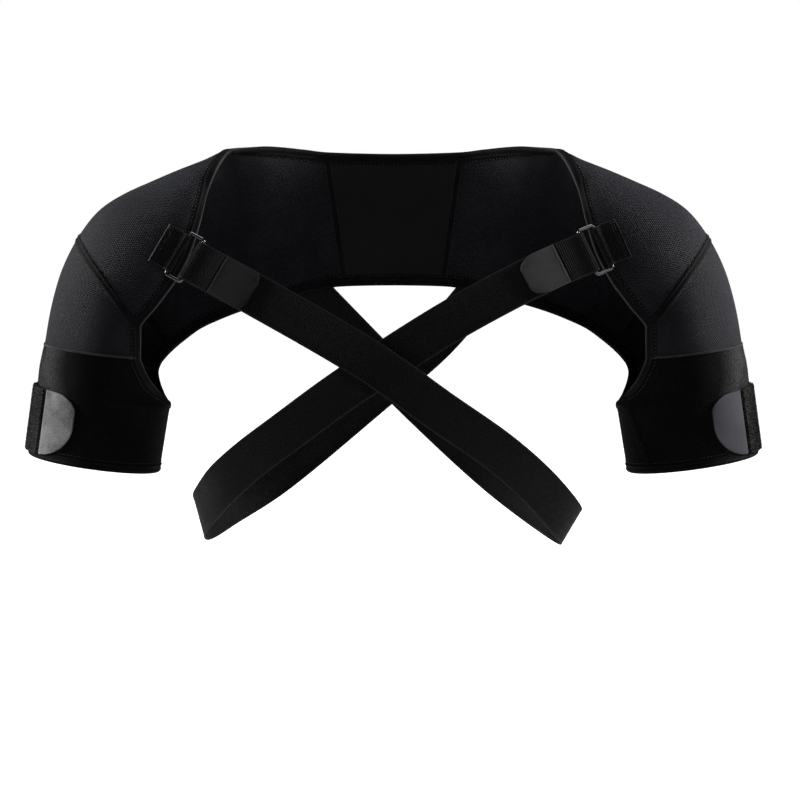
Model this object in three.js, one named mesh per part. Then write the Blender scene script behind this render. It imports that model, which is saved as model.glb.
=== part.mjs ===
// Shoulder brace, in millimetres. +X is the wearer's left, +Y points to the back, +Z is up.
// The origin is the middle of the inner face of the back panel. The brace keeps its worn form.

import * as THREE from "three";

// Clearance between pieces that touch.
const gap = 0.3;

// Shell: sizes that the section table is written in shares of.
const reach = 320;
const drop = 275;
const armForward = 85;
const armDepth = 62;
const neoprene = 3;

// Bound edges.
const bindingGap = 0.9;
const bindingDepth = 3;
const bindingThick = 3.6;

// Webbing, rings and hook tabs.
const strapWidth = 36;
const strapThick = 1.8;
const ringWire = 3.2;
const ringCorner = 2.56;
const ringSlack = 1;
const ringPitch = 15.2;
const webbingThick = 1.4;
const webbingLength = 18;
const foldLength = 25;
const tabLength = 36;
const tabThick = 1.6;
const tabGap = 0.6;

// Chest straps: sizes that the route tables are written in shares of.
const strapReach = 166;
const strapForward = 190;
const strapDrop = 265;

// Cuff closure.
const cuffStrapHeight = 58;
const cuffStrapThick = 3;
const cuffStrapAboveHem = 2;
const cuffTabThick = 2;

// Shares of the way round an arm opening, from its front edge over the outside to its rear edge.
const cuffStrapSpan = { from: 0.9, to: 0.4 };
const cuffTabSpan = { from: 0.39, to: 0.3 };

// Sections of the shell from a cuff hem to the middle of the back. x is a share of reach, z of drop,
// depths are shares of armDepth and rearmost, measured forward, is a share of armForward. A section
// is an arc from its front (or top) edge over its outermost point to its rear (or bottom) edge.
// Turns are in degrees from the outermost point, and a negative front turn starts behind it.
const sectionColumns = ["outX", "outZ", "frontX", "frontZ", "frontTurn", "frontDepth",
  "rearX", "rearZ", "rearTurn", "rearDepth", "rearmost"];
const sectionRows = [
  [1.000, -0.722, 0.642, -0.783, 180, 0.97, 0.642, -0.783, 180, 0.97, 0.293],
  [0.975, -0.516, 0.613, -0.577, 180, 1.00, 0.613, -0.577, 180, 1.00, 0.270],
  [0.968, -0.450, 0.666, -0.487, 134, 0.98, 0.648, -0.537, 147, 1.00, 0.268],
  [0.955, -0.382, 0.687, -0.415, 119, 1.01, 0.661, -0.488, 132, 1.03, 0.249],
  [0.940, -0.285, 0.686, -0.385, 116, 1.05, 0.655, -0.460, 126, 1.07, 0.220],
  [0.912, -0.165, 0.685, -0.352, 113, 1.05, 0.644, -0.440, 120, 1.13, 0.176],
  [0.862, -0.045, 0.685, -0.316, 109, 1.04, 0.624, -0.415, 115, 1.19, 0.132],
  [0.800, 0.045, 0.637, -0.243, 105, 1.05, 0.588, -0.380, 112, 1.26, 0.081],
  [0.733, 0.095, 0.585, -0.160, 102, 1.02, 0.546, -0.345, 108, 1.29, 0.059],
  [0.665, 0.131, 0.546, -0.070, 98, 0.95, 0.497, -0.318, 105, 1.29, 0.047],
  [0.597, 0.165, 0.521, 0.030, 92, 0.80, 0.450, -0.296, 102, 1.28, 0.037],
  [0.520, 0.200, 0.501, 0.130, 78, 0.52, 0.415, -0.282, 100, 1.26, 0.030],
  [0.445, 0.234, 0.445, 0.234, 0, 0.40, 0.372, -0.267, 98, 1.23, 0.024],
  [0.365, 0.236, 0.365, 0.236, -20, 0.30, 0.311, -0.250, 96, 1.21, 0.018],
  [0.262, 0.223, 0.262, 0.223, -45, 0.20, 0.229, -0.222, 94, 1.20, 0.010],
  [0.188, 0.212, 0.188, 0.212, -56, 0.10, 0.138, -0.206, 93, 1.18, 0.000],
  [0.000, 0.206, 0.000, 0.206, -60, 0.00, 0.000, -0.203, 93, 1.12, -0.012],
];

// Places along the shell, counted in sections from the wearer's right cuff hem.
const armpit = 1;
const cuffSeam = 3;
const diagonalSeam = 6;
const cornerPlace = 12;
const backSeam = 15;
const middle = sectionRows.length - 1;
const farHem = 2 * middle;

// Routes of the chest straps from the ring to the sewn end. x is a share of strapReach, positive on
// the ring's own side, y of strapForward, z of strapDrop. lean tilts the width from upright.
const routeColumns = ["x", "y", "z", "lean"];
const rightRoute = [
  [1.030, -0.820, -0.120, 32],
  [0.733, -0.895, -0.210, 33],
  [0.113, -1.000, -0.430, 35],
  [-0.240, -0.990, -0.587, 36],
  [-0.550, -0.905, -0.728, 38],
  [-0.763, -0.768, -0.853, 37],
  [-0.946, -0.484, -1.006, 30],
  [-0.836, -0.168, -0.990, 33],
  [-0.564, -0.010, -0.870, 39],
  [-0.150, 0.055, -0.634, 44],
  [0.210, 0.055, -0.404, 45],
  [0.492, 0.040, -0.218, 46],
  [0.643, 0.030, -0.119, 46],
];
const leftRoute = [
  [1.008, -0.820, -0.093, 27],
  [0.680, -0.890, -0.172, 26],
  [0.296, -0.945, -0.300, 29],
  [-0.235, -0.945, -0.514, 33],
  [-0.577, -0.900, -0.673, 33],
  [-0.746, -0.830, -0.756, 32],
  [-0.887, -0.720, -0.839, 27],
  [-0.978, -0.580, -0.911, 20],
  [-1.037, -0.420, -0.973, 14],
  [-1.019, -0.290, -1.002, 17],
  [-0.897, -0.130, -0.965, 28],
  [-0.652, -0.020, -0.873, 35],
  [-0.100, 0.034, -0.589, 40],
  [0.226, 0.034, -0.414, 42],
  [0.487, 0.040, -0.222, 47],
  [0.620, 0.030, -0.122, 48],
];

// The two sides. The outer bar of a ring stands at a share of reach and of drop.
const sides = [
  { name: "right", side: -1, ringX: 0.579, ringZ: -0.086, route: rightRoute, roundTab: 0.15 },
  { name: "left", side: 1, ringX: 0.565, ringZ: -0.066, route: leftRoute, roundTab: 0.45 },
];

// Facets.
const hoopSteps = 20;
const ringCornerSteps = 3;
const wireSides = 6;
const eyeSteps = 7;
const strapStep = 16;

const materials = {
  mesh: finish(0x1b1d22, 0.62),
  smooth: finish(0x17181c, 0.7),
  pile: finish(0x121214, 0.95),
  binding: finish(0x0d0d0f, 0.6),
  webbing: finish(0x121111, 0.75),
  hook: finish(0x2a2b30, 0.6),
  gloss: finish(0x060607, 0.15),
};

function finish(colour, roughness) {
  return new THREE.MeshStandardMaterial({ color: colour, roughness, metalness: 0 });
}

function mix(a, b, t) {
  return a + (b - a) * t;
}

function toRows(columns, rows) {
  return rows.map((row) => Object.fromEntries(columns.map((column, i) => [column, row[i]])));
}

function radians(degrees) {
  return THREE.MathUtils.degToRad(degrees);
}

// Section tables of both halves in one list, from the right cuff hem to the left one.
const halfSections = toRows(sectionColumns, sectionRows);
const sections = [
  ...halfSections.map((row) => placed(row, -1)),
  ...halfSections.slice(0, -1).reverse().map((row) => placed(row, 1)),
];

function placed(row, side) {
  return { ...row, outX: side * row.outX, frontX: side * row.frontX, rearX: side * row.rearX };
}

// Slope of one column at a section: flat where the column turns, so that nothing overshoots.
function slope(column, i) {
  const first = i <= armpit;
  const last = i >= farHem - armpit;
  const before = first ? 0 : sections[i][column] - sections[i - 1][column];
  const after = last ? 0 : sections[i + 1][column] - sections[i][column];
  if (first) {
    return after;
  }
  if (last) {
    return before;
  }
  return before * after > 0 ? (2 * before * after) / (before + after) : 0;
}

// The section at any place along the shell. Cuff tubes are straight, the rest is a smooth curve.
function sectionAt(place) {
  const k = THREE.MathUtils.clamp(place, 0, farHem);
  const i = Math.min(Math.floor(k), farHem - 1);
  const t = k - i;
  const straight = i < armpit || i >= farHem - armpit;
  const result = {};
  for (const column of sectionColumns) {
    const a = sections[i][column];
    const b = sections[i + 1][column];
    if (straight) {
      result[column] = mix(a, b, t);
      continue;
    }
    const ease = t * t * (3 - 2 * t);
    const lead = t * (1 - t) * (1 - t);
    const trail = t * t * (t - 1);
    result[column] = mix(a, b, ease) + slope(column, i) * lead + slope(column, i + 1) * trail;
  }
  return result;
}

// Outer face of the shell at a place along it and a turn round the section.
function hoopPoint(place, turn) {
  const s = sectionAt(place);
  const start = radians(Math.max(-s.frontTurn, 0));
  const angle = radians(turn);
  const toFront = turn < 0 && s.frontTurn > 0;
  const end = radians(toFront ? s.frontTurn : s.rearTurn);
  const share = (Math.cos(start) - Math.cos(angle)) / (Math.cos(start) - Math.cos(end));
  const edgeX = toFront ? s.frontX : s.rearX;
  const edgeZ = toFront ? s.frontZ : s.rearZ;
  const front = armDepth * (toFront ? s.frontDepth * Math.sin(angle) - s.rearDepth : 0);
  const rear = toFront ? 0 : armDepth * s.rearDepth * (Math.sin(angle) - 1);
  return new THREE.Vector3(
    reach * mix(s.outX, edgeX, share),
    front + rear - armForward * s.rearmost,
    drop * mix(s.outZ, edgeZ, share),
  );
}

function turnAt(place, across) {
  const s = sectionAt(place);
  return mix(-s.frontTurn, s.rearTurn, across);
}

// Point and outward normal of the shell at a place along it and a share across it.
function shellAt(place, across) {
  const turn = turnAt(place, across);
  return { point: hoopPoint(place, turn), normal: hoopNormal(place, turn) };
}

function hoopNormal(place, turn) {
  const stepAlong = 0.02;
  const stepRound = 1;
  const along = hoopPoint(place + stepAlong, turn).sub(hoopPoint(place - stepAlong, turn));
  const round = hoopPoint(place, turn + stepRound).sub(hoopPoint(place, turn - stepRound));
  return along.cross(round).normalize();
}

// The shell at a given x and z, found by steps from a first guess of place and share across.
function shellBelow(x, z, guess) {
  const step = 0.001;
  let [place, across] = guess;
  for (let i = 0; i < 20; i += 1) {
    const p = hoopPoint(place, turnAt(place, across));
    const along = hoopPoint(place + step, turnAt(place + step, across)).sub(p).divideScalar(step);
    const round = hoopPoint(place, turnAt(place, across + step)).sub(p).divideScalar(step);
    const area = along.x * round.z - along.z * round.x;
    const dx = x - p.x;
    const dz = z - p.z;
    place += THREE.MathUtils.clamp((dx * round.z - dz * round.x) / area, -0.5, 0.5);
    across += THREE.MathUtils.clamp((along.x * dz - along.z * dx) / area, -0.1, 0.1);
  }
  return shellAt(place, across);
}

// A mesh from points and triangles, with its faces turned outwards.
function solid(name, points, triangles, material) {
  let volume = 0;
  for (const [a, b, c] of triangles) {
    volume += points[a].dot(points[b].clone().cross(points[c]));
  }
  const faces = volume < 0 ? triangles.map(([a, b, c]) => [a, c, b]) : triangles;
  const geometry = new THREE.BufferGeometry();
  const positions = points.flatMap((p) => [p.x, p.y, p.z]);
  geometry.setAttribute("position", new THREE.Float32BufferAttribute(positions, 3));
  geometry.setIndex(faces.flat());
  geometry.computeVertexNormals();
  const mesh = new THREE.Mesh(geometry, material);
  mesh.name = name;
  return mesh;
}

// A sheet of cloth as a solid: at(i, j) gives a point and normal of its face, and the wall lies
// between two heights along the normal. Rows that close on themselves are welded.
function sheet(name, rows, columns, at, low, high, material) {
  const weld = new Map();
  const outer = [];
  const inner = [];
  const index = [];
  for (let i = 0; i <= rows; i += 1) {
    for (let j = 0; j <= columns; j += 1) {
      const { point, normal } = at(i, j);
      const key = point.toArray().map((v) => Math.round(v * 1000)).join();
      if (!weld.has(key)) {
        weld.set(key, outer.length);
        outer.push(point.clone().addScaledVector(normal, high));
        inner.push(point.clone().addScaledVector(normal, low));
      }
      index.push(weld.get(key));
    }
  }
  const faces = [];
  for (let i = 0; i < rows; i += 1) {
    for (let j = 0; j < columns; j += 1) {
      const a = index[i * (columns + 1) + j];
      const b = index[i * (columns + 1) + j + 1];
      const c = index[(i + 1) * (columns + 1) + j + 1];
      const d = index[(i + 1) * (columns + 1) + j];
      faces.push([a, b, c], [a, c, d]);
    }
  }
  const whole = faces.filter(([a, b, c]) => a !== b && b !== c && c !== a);
  const count = outer.length;
  const triangles = [];
  const edges = new Set(whole.flatMap(([a, b, c]) => [`${a},${b}`, `${b},${c}`, `${c},${a}`]));
  for (const [a, b, c] of whole) {
    triangles.push([a, b, c], [a + count, c + count, b + count]);
  }
  for (const edge of edges) {
    const [a, b] = edge.split(",").map(Number);
    if (!edges.has(`${b},${a}`)) {
      triangles.push([b, a, a + count], [b, a + count, b + count]);
    }
  }
  return solid(name, [...outer, ...inner], triangles, material);
}

// A solid through rings of points, closed on itself or capped at both ends.
function loft(name, rings, closed, material) {
  const size = rings[0].length;
  const points = rings.flat();
  const triangles = [];
  const last = closed ? rings.length : rings.length - 1;
  for (let i = 0; i < last; i += 1) {
    const here = i * size;
    const next = ((i + 1) % rings.length) * size;
    for (let j = 0; j < size; j += 1) {
      const k = (j + 1) % size;
      triangles.push([here + j, here + k, next + k], [here + j, next + k, next + j]);
    }
  }
  if (!closed) {
    const end = (rings.length - 1) * size;
    for (let j = 0; j < size / 2 - 1; j += 1) {
      const [a, b, c, d] = [j, j + 1, size - 2 - j, size - 1 - j];
      triangles.push([a, c, b], [a, d, c], [end + a, end + b, end + c], [end + a, end + c, end + d]);
    }
  }
  return solid(name, points, triangles, material);
}

// A band of cloth: route holds centre points as distance along and height above a base, and
// place(along, height, across) puts such a point in space, across running from -1 to 1.
function band(name, route, thick, acrossList, place, material) {
  const rings = route.map(([along, height], i) => {
    const [alongBefore, heightBefore] = route[Math.max(i - 1, 0)];
    const [alongAfter, heightAfter] = route[Math.min(i + 1, route.length - 1)];
    const run = new THREE.Vector2(alongAfter - alongBefore, heightAfter - heightBefore).normalize();
    const half = thick / 2;
    const face = (sign, across) =>
      place(along - sign * half * run.y, height + sign * half * run.x, across);
    const top = acrossList.map((across) => face(1, across));
    const bottom = acrossList.map((across) => face(-1, across)).reverse();
    return [...top, ...bottom];
  });
  return loft(name, rings, false, material);
}

// One panel of the shell between two places, with half a seam gap left at each seam.
function panel(name, places, seams, material) {
  const at = (i, j) => {
    const across = j / hoopSteps;
    const seam = seams.includes(places[i]);
    const inward = Math.sign(i === 0 ? places[1] - places[0] : places[0] - places[1]);
    const place = seam ? places[i] + inward * (gap / 2) / speedAlong(places[i], across) : places[i];
    return shellAt(place, across);
  };
  return sheet(name, places.length - 1, hoopSteps, at, -neoprene, 0, material);
}

// Millimetres for each section step along the shell.
function speedAlong(place, across) {
  const step = 0.01;
  const ahead = shellAt(place + step, across).point;
  return ahead.distanceTo(shellAt(place - step, across).point) / (2 * step);
}

function placesBetween(from, to, steps) {
  return Array.from({ length: steps + 1 }, (_, i) => mix(from, to, i / steps));
}

function mirrored(places) {
  return places.map((place) => farHem - place);
}

// A bound edge: a rounded bar along the edge of the shell, the seam gap away from it.
function binding(name, edge, sign) {
  const count = edge.length;
  const half = bindingThick / 2;
  const profile = [
    [bindingGap, -half],
    [bindingGap, half],
    [bindingGap + bindingDepth * 0.6, half],
    [bindingGap + bindingDepth, half * 0.4],
    [bindingGap + bindingDepth, -half * 0.4],
    [bindingGap + bindingDepth * 0.6, -half],
  ];
  const rings = edge.map(([place, across], i) => {
    const { point, normal } = shellAt(place, across);
    const before = shellAt(...edge[(i + count - 1) % count]).point;
    const after = shellAt(...edge[(i + 1) % count]).point;
    const outward = after.sub(before).cross(normal).normalize().multiplyScalar(sign);
    return profile.map(([out, up]) =>
      point.clone().addScaledVector(outward, out).addScaledVector(normal, up - neoprene / 2));
  });
  return loft(name, rings, true, materials.binding);
}

// Ring frame: the outer bar lies on the cap over one layer of webbing, and the ring points along
// the strap's pull.
function ringFrame({ side, ringX, ringZ, route }) {
  const guess = side < 0 ? [8.5, 0.1] : [farHem - 8.5, 0.1];
  const seat = shellBelow(side * ringX * reach, ringZ * drop, guess);
  const height = 2 * gap + webbingThick + ringWire / 2;
  const outerBar = seat.point.clone().addScaledVector(seat.normal, height);
  const [first, second] = toRows(routeColumns, route);
  const width = widthAcross(first.lean, side, seat.normal);
  const towards = routePoint(second, side).sub(outerBar);
  const pull = towards.addScaledVector(width, -towards.dot(width)).normalize();
  const face = pull.clone().cross(width).multiplyScalar(-side);
  const innerBar = outerBar.clone().addScaledVector(pull, ringPitch);
  return { outerBar, innerBar, pull, width, face };
}

function routePoint(row, side) {
  return new THREE.Vector3(side * strapReach * row.x, strapForward * row.y, strapDrop * row.z);
}

// Width direction of a strap: upright, tilted by lean, and square to another direction.
function widthAcross(lean, side, square) {
  const upright = new THREE.Vector3(-side * Math.sin(radians(lean)), 0, Math.cos(radians(lean)));
  return upright.addScaledVector(square, -upright.dot(square)).normalize();
}

// Rectangular ring of round wire.
function ring(info) {
  const { outerBar, innerBar, pull, width, face } = ringFrame(info);
  const centre = outerBar.clone().lerp(innerBar, 0.5);
  const halfLong = strapWidth / 2 + ringSlack + ringWire / 2;
  const outline = [];
  for (const [signPull, signWidth, start] of [[1, 1, 0], [-1, 1, 90], [-1, -1, 180], [1, -1, 270]]) {
    for (let i = 0; i <= ringCornerSteps; i += 1) {
      const angle = radians(start + (90 * i) / ringCornerSteps);
      const cos = Math.cos(angle);
      const sin = Math.sin(angle);
      outline.push({
        centre: centre.clone()
          .addScaledVector(pull, signPull * (ringPitch / 2 - ringCorner) + ringCorner * cos)
          .addScaledVector(width, signWidth * (halfLong - ringCorner) + ringCorner * sin),
        out: pull.clone().multiplyScalar(cos).addScaledVector(width, sin),
      });
    }
  }
  const rings = outline.map(({ centre: at, out }) =>
    Array.from({ length: wireSides }, (_, j) => {
      const angle = (2 * Math.PI * j) / wireSides;
      return at.clone()
        .addScaledVector(out, (ringWire / 2) * Math.cos(angle))
        .addScaledVector(face, (ringWire / 2) * Math.sin(angle));
    }));
  return loft(`ring_${info.name}`, rings, true, materials.gloss);
}

// Half turn of webbing round a ring bar, from one side of the bar to the other.
function eye(radius, centreHeight, towards) {
  return Array.from({ length: eyeSteps + 1 }, (_, i) => {
    const angle = mix(-Math.PI / 2, Math.PI / 2, i / eyeSteps);
    return [towards * radius * Math.cos(angle), centreHeight + radius * Math.sin(angle)];
  });
}

// Webbing sewn on the cap: two layers, folded round the outer bar of the ring.
function ringWebbing(info) {
  const { outerBar, pull, width, face } = ringFrame(info);
  const guess = info.side < 0 ? [8.5, 0.1] : [farHem - 8.5, 0.1];
  const radius = ringWire / 2 + gap + webbingThick / 2;
  const lower = gap + webbingThick / 2;
  const upper = lower + webbingThick + gap;
  const barHeight = 2 * gap + webbingThick + ringWire / 2;
  const slope = webbingLength * 0.5;
  const place = (along, height, across) => {
    const flat = outerBar.clone()
      .addScaledVector(pull, along)
      .addScaledVector(width, (across * strapWidth) / 2);
    const seat = shellBelow(flat.x, flat.z, guess);
    const draped = seat.point.addScaledVector(seat.normal, height);
    const level = flat.addScaledVector(face, height - barHeight);
    const [free, held] = height > barHeight ? [-slope, -radius] : [-radius, 0];
    const hold = THREE.MathUtils.smoothstep(along, free, held);
    return draped.lerp(level, hold);
  };
  const route = [
    [-webbingLength, lower],
    [-webbingLength * 0.75, lower],
    [-slope, lower],
    [-radius, lower],
    ...eye(radius, barHeight, 1),
    [-radius, barHeight + radius * 0.6],
    [-slope, upper],
    [-webbingLength * 0.75, upper],
    [-webbingLength, upper],
  ];
  const across = [-1, -0.5, 0, 0.5, 1];
  return band(`ring_webbing_${info.name}`, route, webbingThick, across, place, materials.webbing);
}

// Base line of a chest strap and its directions at a distance from the ring's inner bar.
function strapBase(info) {
  const start = ringFrame(info);
  const rows = toRows(routeColumns, info.route);
  const sewn = rows.length - 2;
  const clear = 2 * gap + strapThick + gap / 2 + (bindingThick - neoprene) / 2;
  const points = rows.slice(1).map((row, i) => {
    const point = routePoint(row, info.side);
    if (i + 1 < sewn) {
      return point;
    }
    const guess = info.side < 0 ? [13.5, 0.85] : [farHem - 13.5, 0.85];
    const seat = shellBelow(point.x, point.z, guess);
    return seat.point.addScaledVector(seat.normal, clear);
  });
  const straight = start.innerBar.clone().addScaledVector(start.pull, foldLength);
  const leans = [rows[0].lean, ...rows.map((row) => row.lean)];
  const curve = new THREE.CatmullRomCurve3([start.innerBar, straight, ...points], false, "centripetal");
  curve.arcLengthDivisions = 2000;
  const length = curve.getLength();
  const frame = (along) => {
    const u = THREE.MathUtils.clamp(along / length, 0, 1);
    const run = curve.getTangentAt(u);
    const at = curve.getUtoTmapping(u) * (leans.length - 1);
    const i = Math.min(Math.floor(at), leans.length - 2);
    const twist = THREE.MathUtils.smoothstep(along, 0, 3 * (foldLength + tabLength));
    const free = widthAcross(mix(leans[i], leans[i + 1], at - i), info.side, run);
    const held = start.width.clone().addScaledVector(run, -start.width.dot(run));
    const width = held.lerp(free, twist).normalize();
    const face = run.clone().cross(width).multiplyScalar(-info.side);
    const point = curve.getPointAt(u).addScaledVector(run, along - u * length);
    return { point, width, face };
  };
  return { length, frame };
}

// Chest strap: folded end, half turn round the ring, then the long run to the sewn end.
function chestStrap(info) {
  const { length, frame } = strapBase(info);
  const layer = (strapThick + gap) / 2;
  const radius = ringWire / 2 + gap + strapThick / 2;
  const settle = 4 * radius;
  const place = (along, height, across) => {
    const { point, width, face } = frame(along);
    return point.addScaledVector(face, height).addScaledVector(width, (across * strapWidth) / 2);
  };
  const tab = tabStations(info);
  const tabEnd = tab[tab.length - 1];
  const steps = Math.round((length - tabEnd) / strapStep);
  const route = [
    [foldLength, layer],
    [(foldLength + settle) / 2, layer],
    [settle, layer],
    [settle / 2, mix(layer, radius, 0.5)],
    ...eye(radius, 0, -1).reverse(),
    [settle / 2, -mix(layer, radius, 0.5)],
    [settle, -layer],
    ...[...tab, ...placesBetween(tabEnd, length, steps).slice(1)].map((along) => [along, -layer]),
  ];
  return band(`chest_strap_${info.name}`, route, strapThick, [-1, 1], place, materials.webbing);
}

// Distances from the ring at which the hook tab, and the strap below it, take a facet.
function tabStations({ roundTab }) {
  const straight = foldLength + tabLength * (1 - roundTab);
  const rounding = [0.5, 0.8, 1].map((t) => straight + t * roundTab * tabLength);
  return [...placesBetween(foldLength, straight, 4), ...rounding];
}

// Hook tab on the folded end, with its corners rounded by a share of its length.
function strapTab(info) {
  const { frame } = strapBase(info);
  const to = foldLength + tabLength;
  const height = tabGap - gap / 2 + tabThick / 2;
  const rounding = info.roundTab * tabLength;
  const place = (along, up, across) => {
    const { point, width, face } = frame(along);
    const past = Math.max(0, along - (to - rounding)) / rounding;
    const narrow = 1 - 0.35 * past * past;
    const half = (strapWidth / 2) * narrow;
    return point.addScaledVector(face, up).addScaledVector(width, across * half);
  };
  const [, ...later] = tabStations(info);
  const route = [foldLength + gap, ...later].map((along) => [along, height]);
  return band(`strap_tab_${info.name}`, route, tabThick, [-1, 1], place, materials.hook);
}

// A strap or tab that lies round the outside of a cuff, between two shares of the way round. taper
// narrows it towards its far end, as a share of its height.
function roundCuff(name, side, span, thick, taper, columns, material) {
  const tubeLength = speedAlong(armpit / 2, 0.5) * armpit;
  const bottom = cuffStrapAboveHem / tubeLength;
  const top = bottom + cuffStrapHeight / tubeLength;
  const rows = [...new Set([0, 0.25, 0.5, 0.75, (armpit - bottom) / (top - bottom), 1])].sort();
  const at = (i, j) => {
    const share = j / columns;
    const squeeze = (taper / 2) * share * (2 - share);
    const up = mix(bottom, top, mix(squeeze, 1 - squeeze, rows[i]));
    return shellAt(side < 0 ? up : farHem - up, mix(span.from, span.to, share));
  };
  return sheet(name, rows.length - 1, columns, at, gap, gap + thick, material);
}

const cuffPlaces = [0, 0.5, armpit, 1.25, 1.5, 2, 2.5, cuffSeam];
const sleevePlaces = placesBetween(cuffSeam, diagonalSeam, 6);
const shoulderPlaces = [
  ...placesBetween(diagonalSeam, cornerPlace - 2, 6),
  ...placesBetween(cornerPlace - 2, cornerPlace + 1, 9).slice(1),
  ...placesBetween(cornerPlace + 1, backSeam, 3).slice(1),
];
const backPlaces = placesBetween(backSeam, farHem - backSeam, 4);
const seams = [cuffSeam, diagonalSeam, backSeam].flatMap((place) => [place, farHem - place]);
const hemRound = Array.from({ length: hoopSteps }, (_, j) => j / hoopSteps);

const brace = new THREE.Group();
brace.add(panel("back_panel", backPlaces, seams, materials.smooth));
for (const info of sides) {
  const { name, side } = info;
  const here = (places) => (side < 0 ? places : mirrored(places));
  const hem = side < 0 ? 0 : farHem;
  brace.add(panel(`shoulder_panel_${name}`, here(shoulderPlaces), seams, materials.mesh));
  brace.add(panel(`sleeve_panel_${name}`, here(sleevePlaces), seams, materials.mesh));
  brace.add(panel(`arm_cuff_${name}`, here(cuffPlaces), seams, materials.pile));
  brace.add(binding(`hem_binding_${name}`, hemRound.map((across) => [hem, across]), side));
  brace.add(roundCuff(`cuff_strap_${name}`, side, cuffStrapSpan, cuffStrapThick, 0, 10, materials.pile));
  brace.add(roundCuff(`cuff_tab_${name}`, side, cuffTabSpan, cuffTabThick, 0.5, 3, materials.hook));
  brace.add(ring(info), ringWebbing(info), chestStrap(info), strapTab(info));
}

// The binding takes a facet at each facet of the panels, so that it follows their edges.
const halfEdge = [...new Set([...cuffPlaces, ...sleevePlaces, ...shoulderPlaces, ...backPlaces])]
  .filter((place) => place >= armpit && place <= middle);
const edgePlaces = [...halfEdge, ...mirrored(halfEdge).reverse().slice(1)];
const upperEdge = edgePlaces.map((place) => [place, 0]);
const lowerEdge = edgePlaces.slice(1, -1).reverse().map((place) => [place, 1]);
brace.add(binding("edge_binding", [...upperEdge, ...lowerEdge], 1));

// The origin is moved to the middle of the back panel's inner face.
const backMiddle = shellAt(middle, 0.5);
const innerMiddle = backMiddle.point.addScaledVector(backMiddle.normal, -neoprene);
brace.position.copy(innerMiddle).negate();

export default brace;
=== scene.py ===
"""Shoulder brace: cloth, tape, webbing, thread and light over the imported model, in metres."""

import math

import bmesh
import bpy
import numpy as np
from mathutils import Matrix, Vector


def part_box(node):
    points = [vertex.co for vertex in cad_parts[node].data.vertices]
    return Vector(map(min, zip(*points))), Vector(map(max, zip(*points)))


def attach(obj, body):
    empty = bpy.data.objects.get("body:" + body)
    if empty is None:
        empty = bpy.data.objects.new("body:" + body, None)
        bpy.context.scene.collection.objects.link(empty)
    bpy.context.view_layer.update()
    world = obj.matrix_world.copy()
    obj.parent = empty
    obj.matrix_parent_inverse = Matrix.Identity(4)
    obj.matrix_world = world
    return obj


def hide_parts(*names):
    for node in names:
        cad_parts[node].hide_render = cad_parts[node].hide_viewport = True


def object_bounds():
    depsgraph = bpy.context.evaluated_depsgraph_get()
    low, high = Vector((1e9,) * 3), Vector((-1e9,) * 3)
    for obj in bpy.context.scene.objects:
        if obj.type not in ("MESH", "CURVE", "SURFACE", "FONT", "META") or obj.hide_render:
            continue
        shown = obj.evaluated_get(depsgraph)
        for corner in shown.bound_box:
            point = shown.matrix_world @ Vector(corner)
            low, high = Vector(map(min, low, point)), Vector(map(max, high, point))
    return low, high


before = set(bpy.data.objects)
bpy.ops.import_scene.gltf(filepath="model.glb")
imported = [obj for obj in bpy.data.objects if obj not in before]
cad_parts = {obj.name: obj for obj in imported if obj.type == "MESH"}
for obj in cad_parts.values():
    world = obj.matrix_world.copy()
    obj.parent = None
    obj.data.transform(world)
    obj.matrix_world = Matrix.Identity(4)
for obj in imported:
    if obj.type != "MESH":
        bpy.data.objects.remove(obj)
cad_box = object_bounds()

# Shell: sizes that the section table is written in shares of, as in the part's source.
GAP = 0.0003
REACH = 0.320
DROP = 0.275
ARM_FORWARD = 0.085
ARM_DEPTH = 0.062
NEOPRENE = 0.003

# Webbing, rings and hook tabs.
STRAP_WIDTH = 0.036
STRAP_THICK = 0.0018
RING_WIRE = 0.0032
RING_CORNER = 0.00256
RING_SLACK = 0.001
RING_PITCH = 0.0152
WEBBING_THICK = 0.0014
WEBBING_LENGTH = 0.018
FOLD_LENGTH = 0.025
TAB_LENGTH = 0.036
TAB_THICK = 0.0016
TAB_GAP = 0.0006
BINDING_THICK = 0.0036

# Webbing folded round a ring's outer bar: height of the bar over the cap, radius of the turn,
# heights of the two layers and of the upper face, and where the upper layer starts to rise.
BAR_HEIGHT = 2 * GAP + WEBBING_THICK + RING_WIRE / 2
WEBBING_TURN = RING_WIRE / 2 + GAP + WEBBING_THICK / 2
WEBBING_LOWER = GAP + WEBBING_THICK / 2
WEBBING_UPPER = WEBBING_LOWER + WEBBING_THICK + GAP
WEBBING_TOP = GAP + WEBBING_THICK * 2 + GAP
WEBBING_SLOPE = WEBBING_LENGTH * 0.5

# Chest strap folded round the inner bar: half the distance between its layers, radius of the turn.
STRAP_LAYER = (STRAP_THICK + GAP) / 2
STRAP_TURN = RING_WIRE / 2 + GAP + STRAP_THICK / 2

# Chest straps: sizes that the route tables are written in shares of.
STRAP_REACH = 0.166
STRAP_FORWARD = 0.190
STRAP_DROP = 0.265

# Cuff closure, with its shares of the way round an arm opening.
CUFF_STRAP_HEIGHT = 0.058
CUFF_STRAP_THICK = 0.003
CUFF_STRAP_ABOVE_HEM = 0.002
CUFF_TAB_THICK = 0.002
CUFF_STRAP_SPAN = (0.9, 0.4)
CUFF_TAB_SPAN = (0.39, 0.3)

# How far the end of a cuff strap or tab is rounded off, as shares of its height at top and bottom.
SQUARE_END = (0, 0)
ROUND_END = (0.3, 0.5)

# Grey loop pile of a cuff, by the distance round the cuff from its outermost line: full up to the
# first and gone at the second.
LANDING_FROM = 0.046
LANDING_TO = 0.068

# Floor: how far it reaches each way, and how far it lies below the brace.
FLOOR_REACH = 8.0
FLOOR_DROP = 0.12

# Cloth faces are about this long.
WEAVE_STEP = 0.0028

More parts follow.
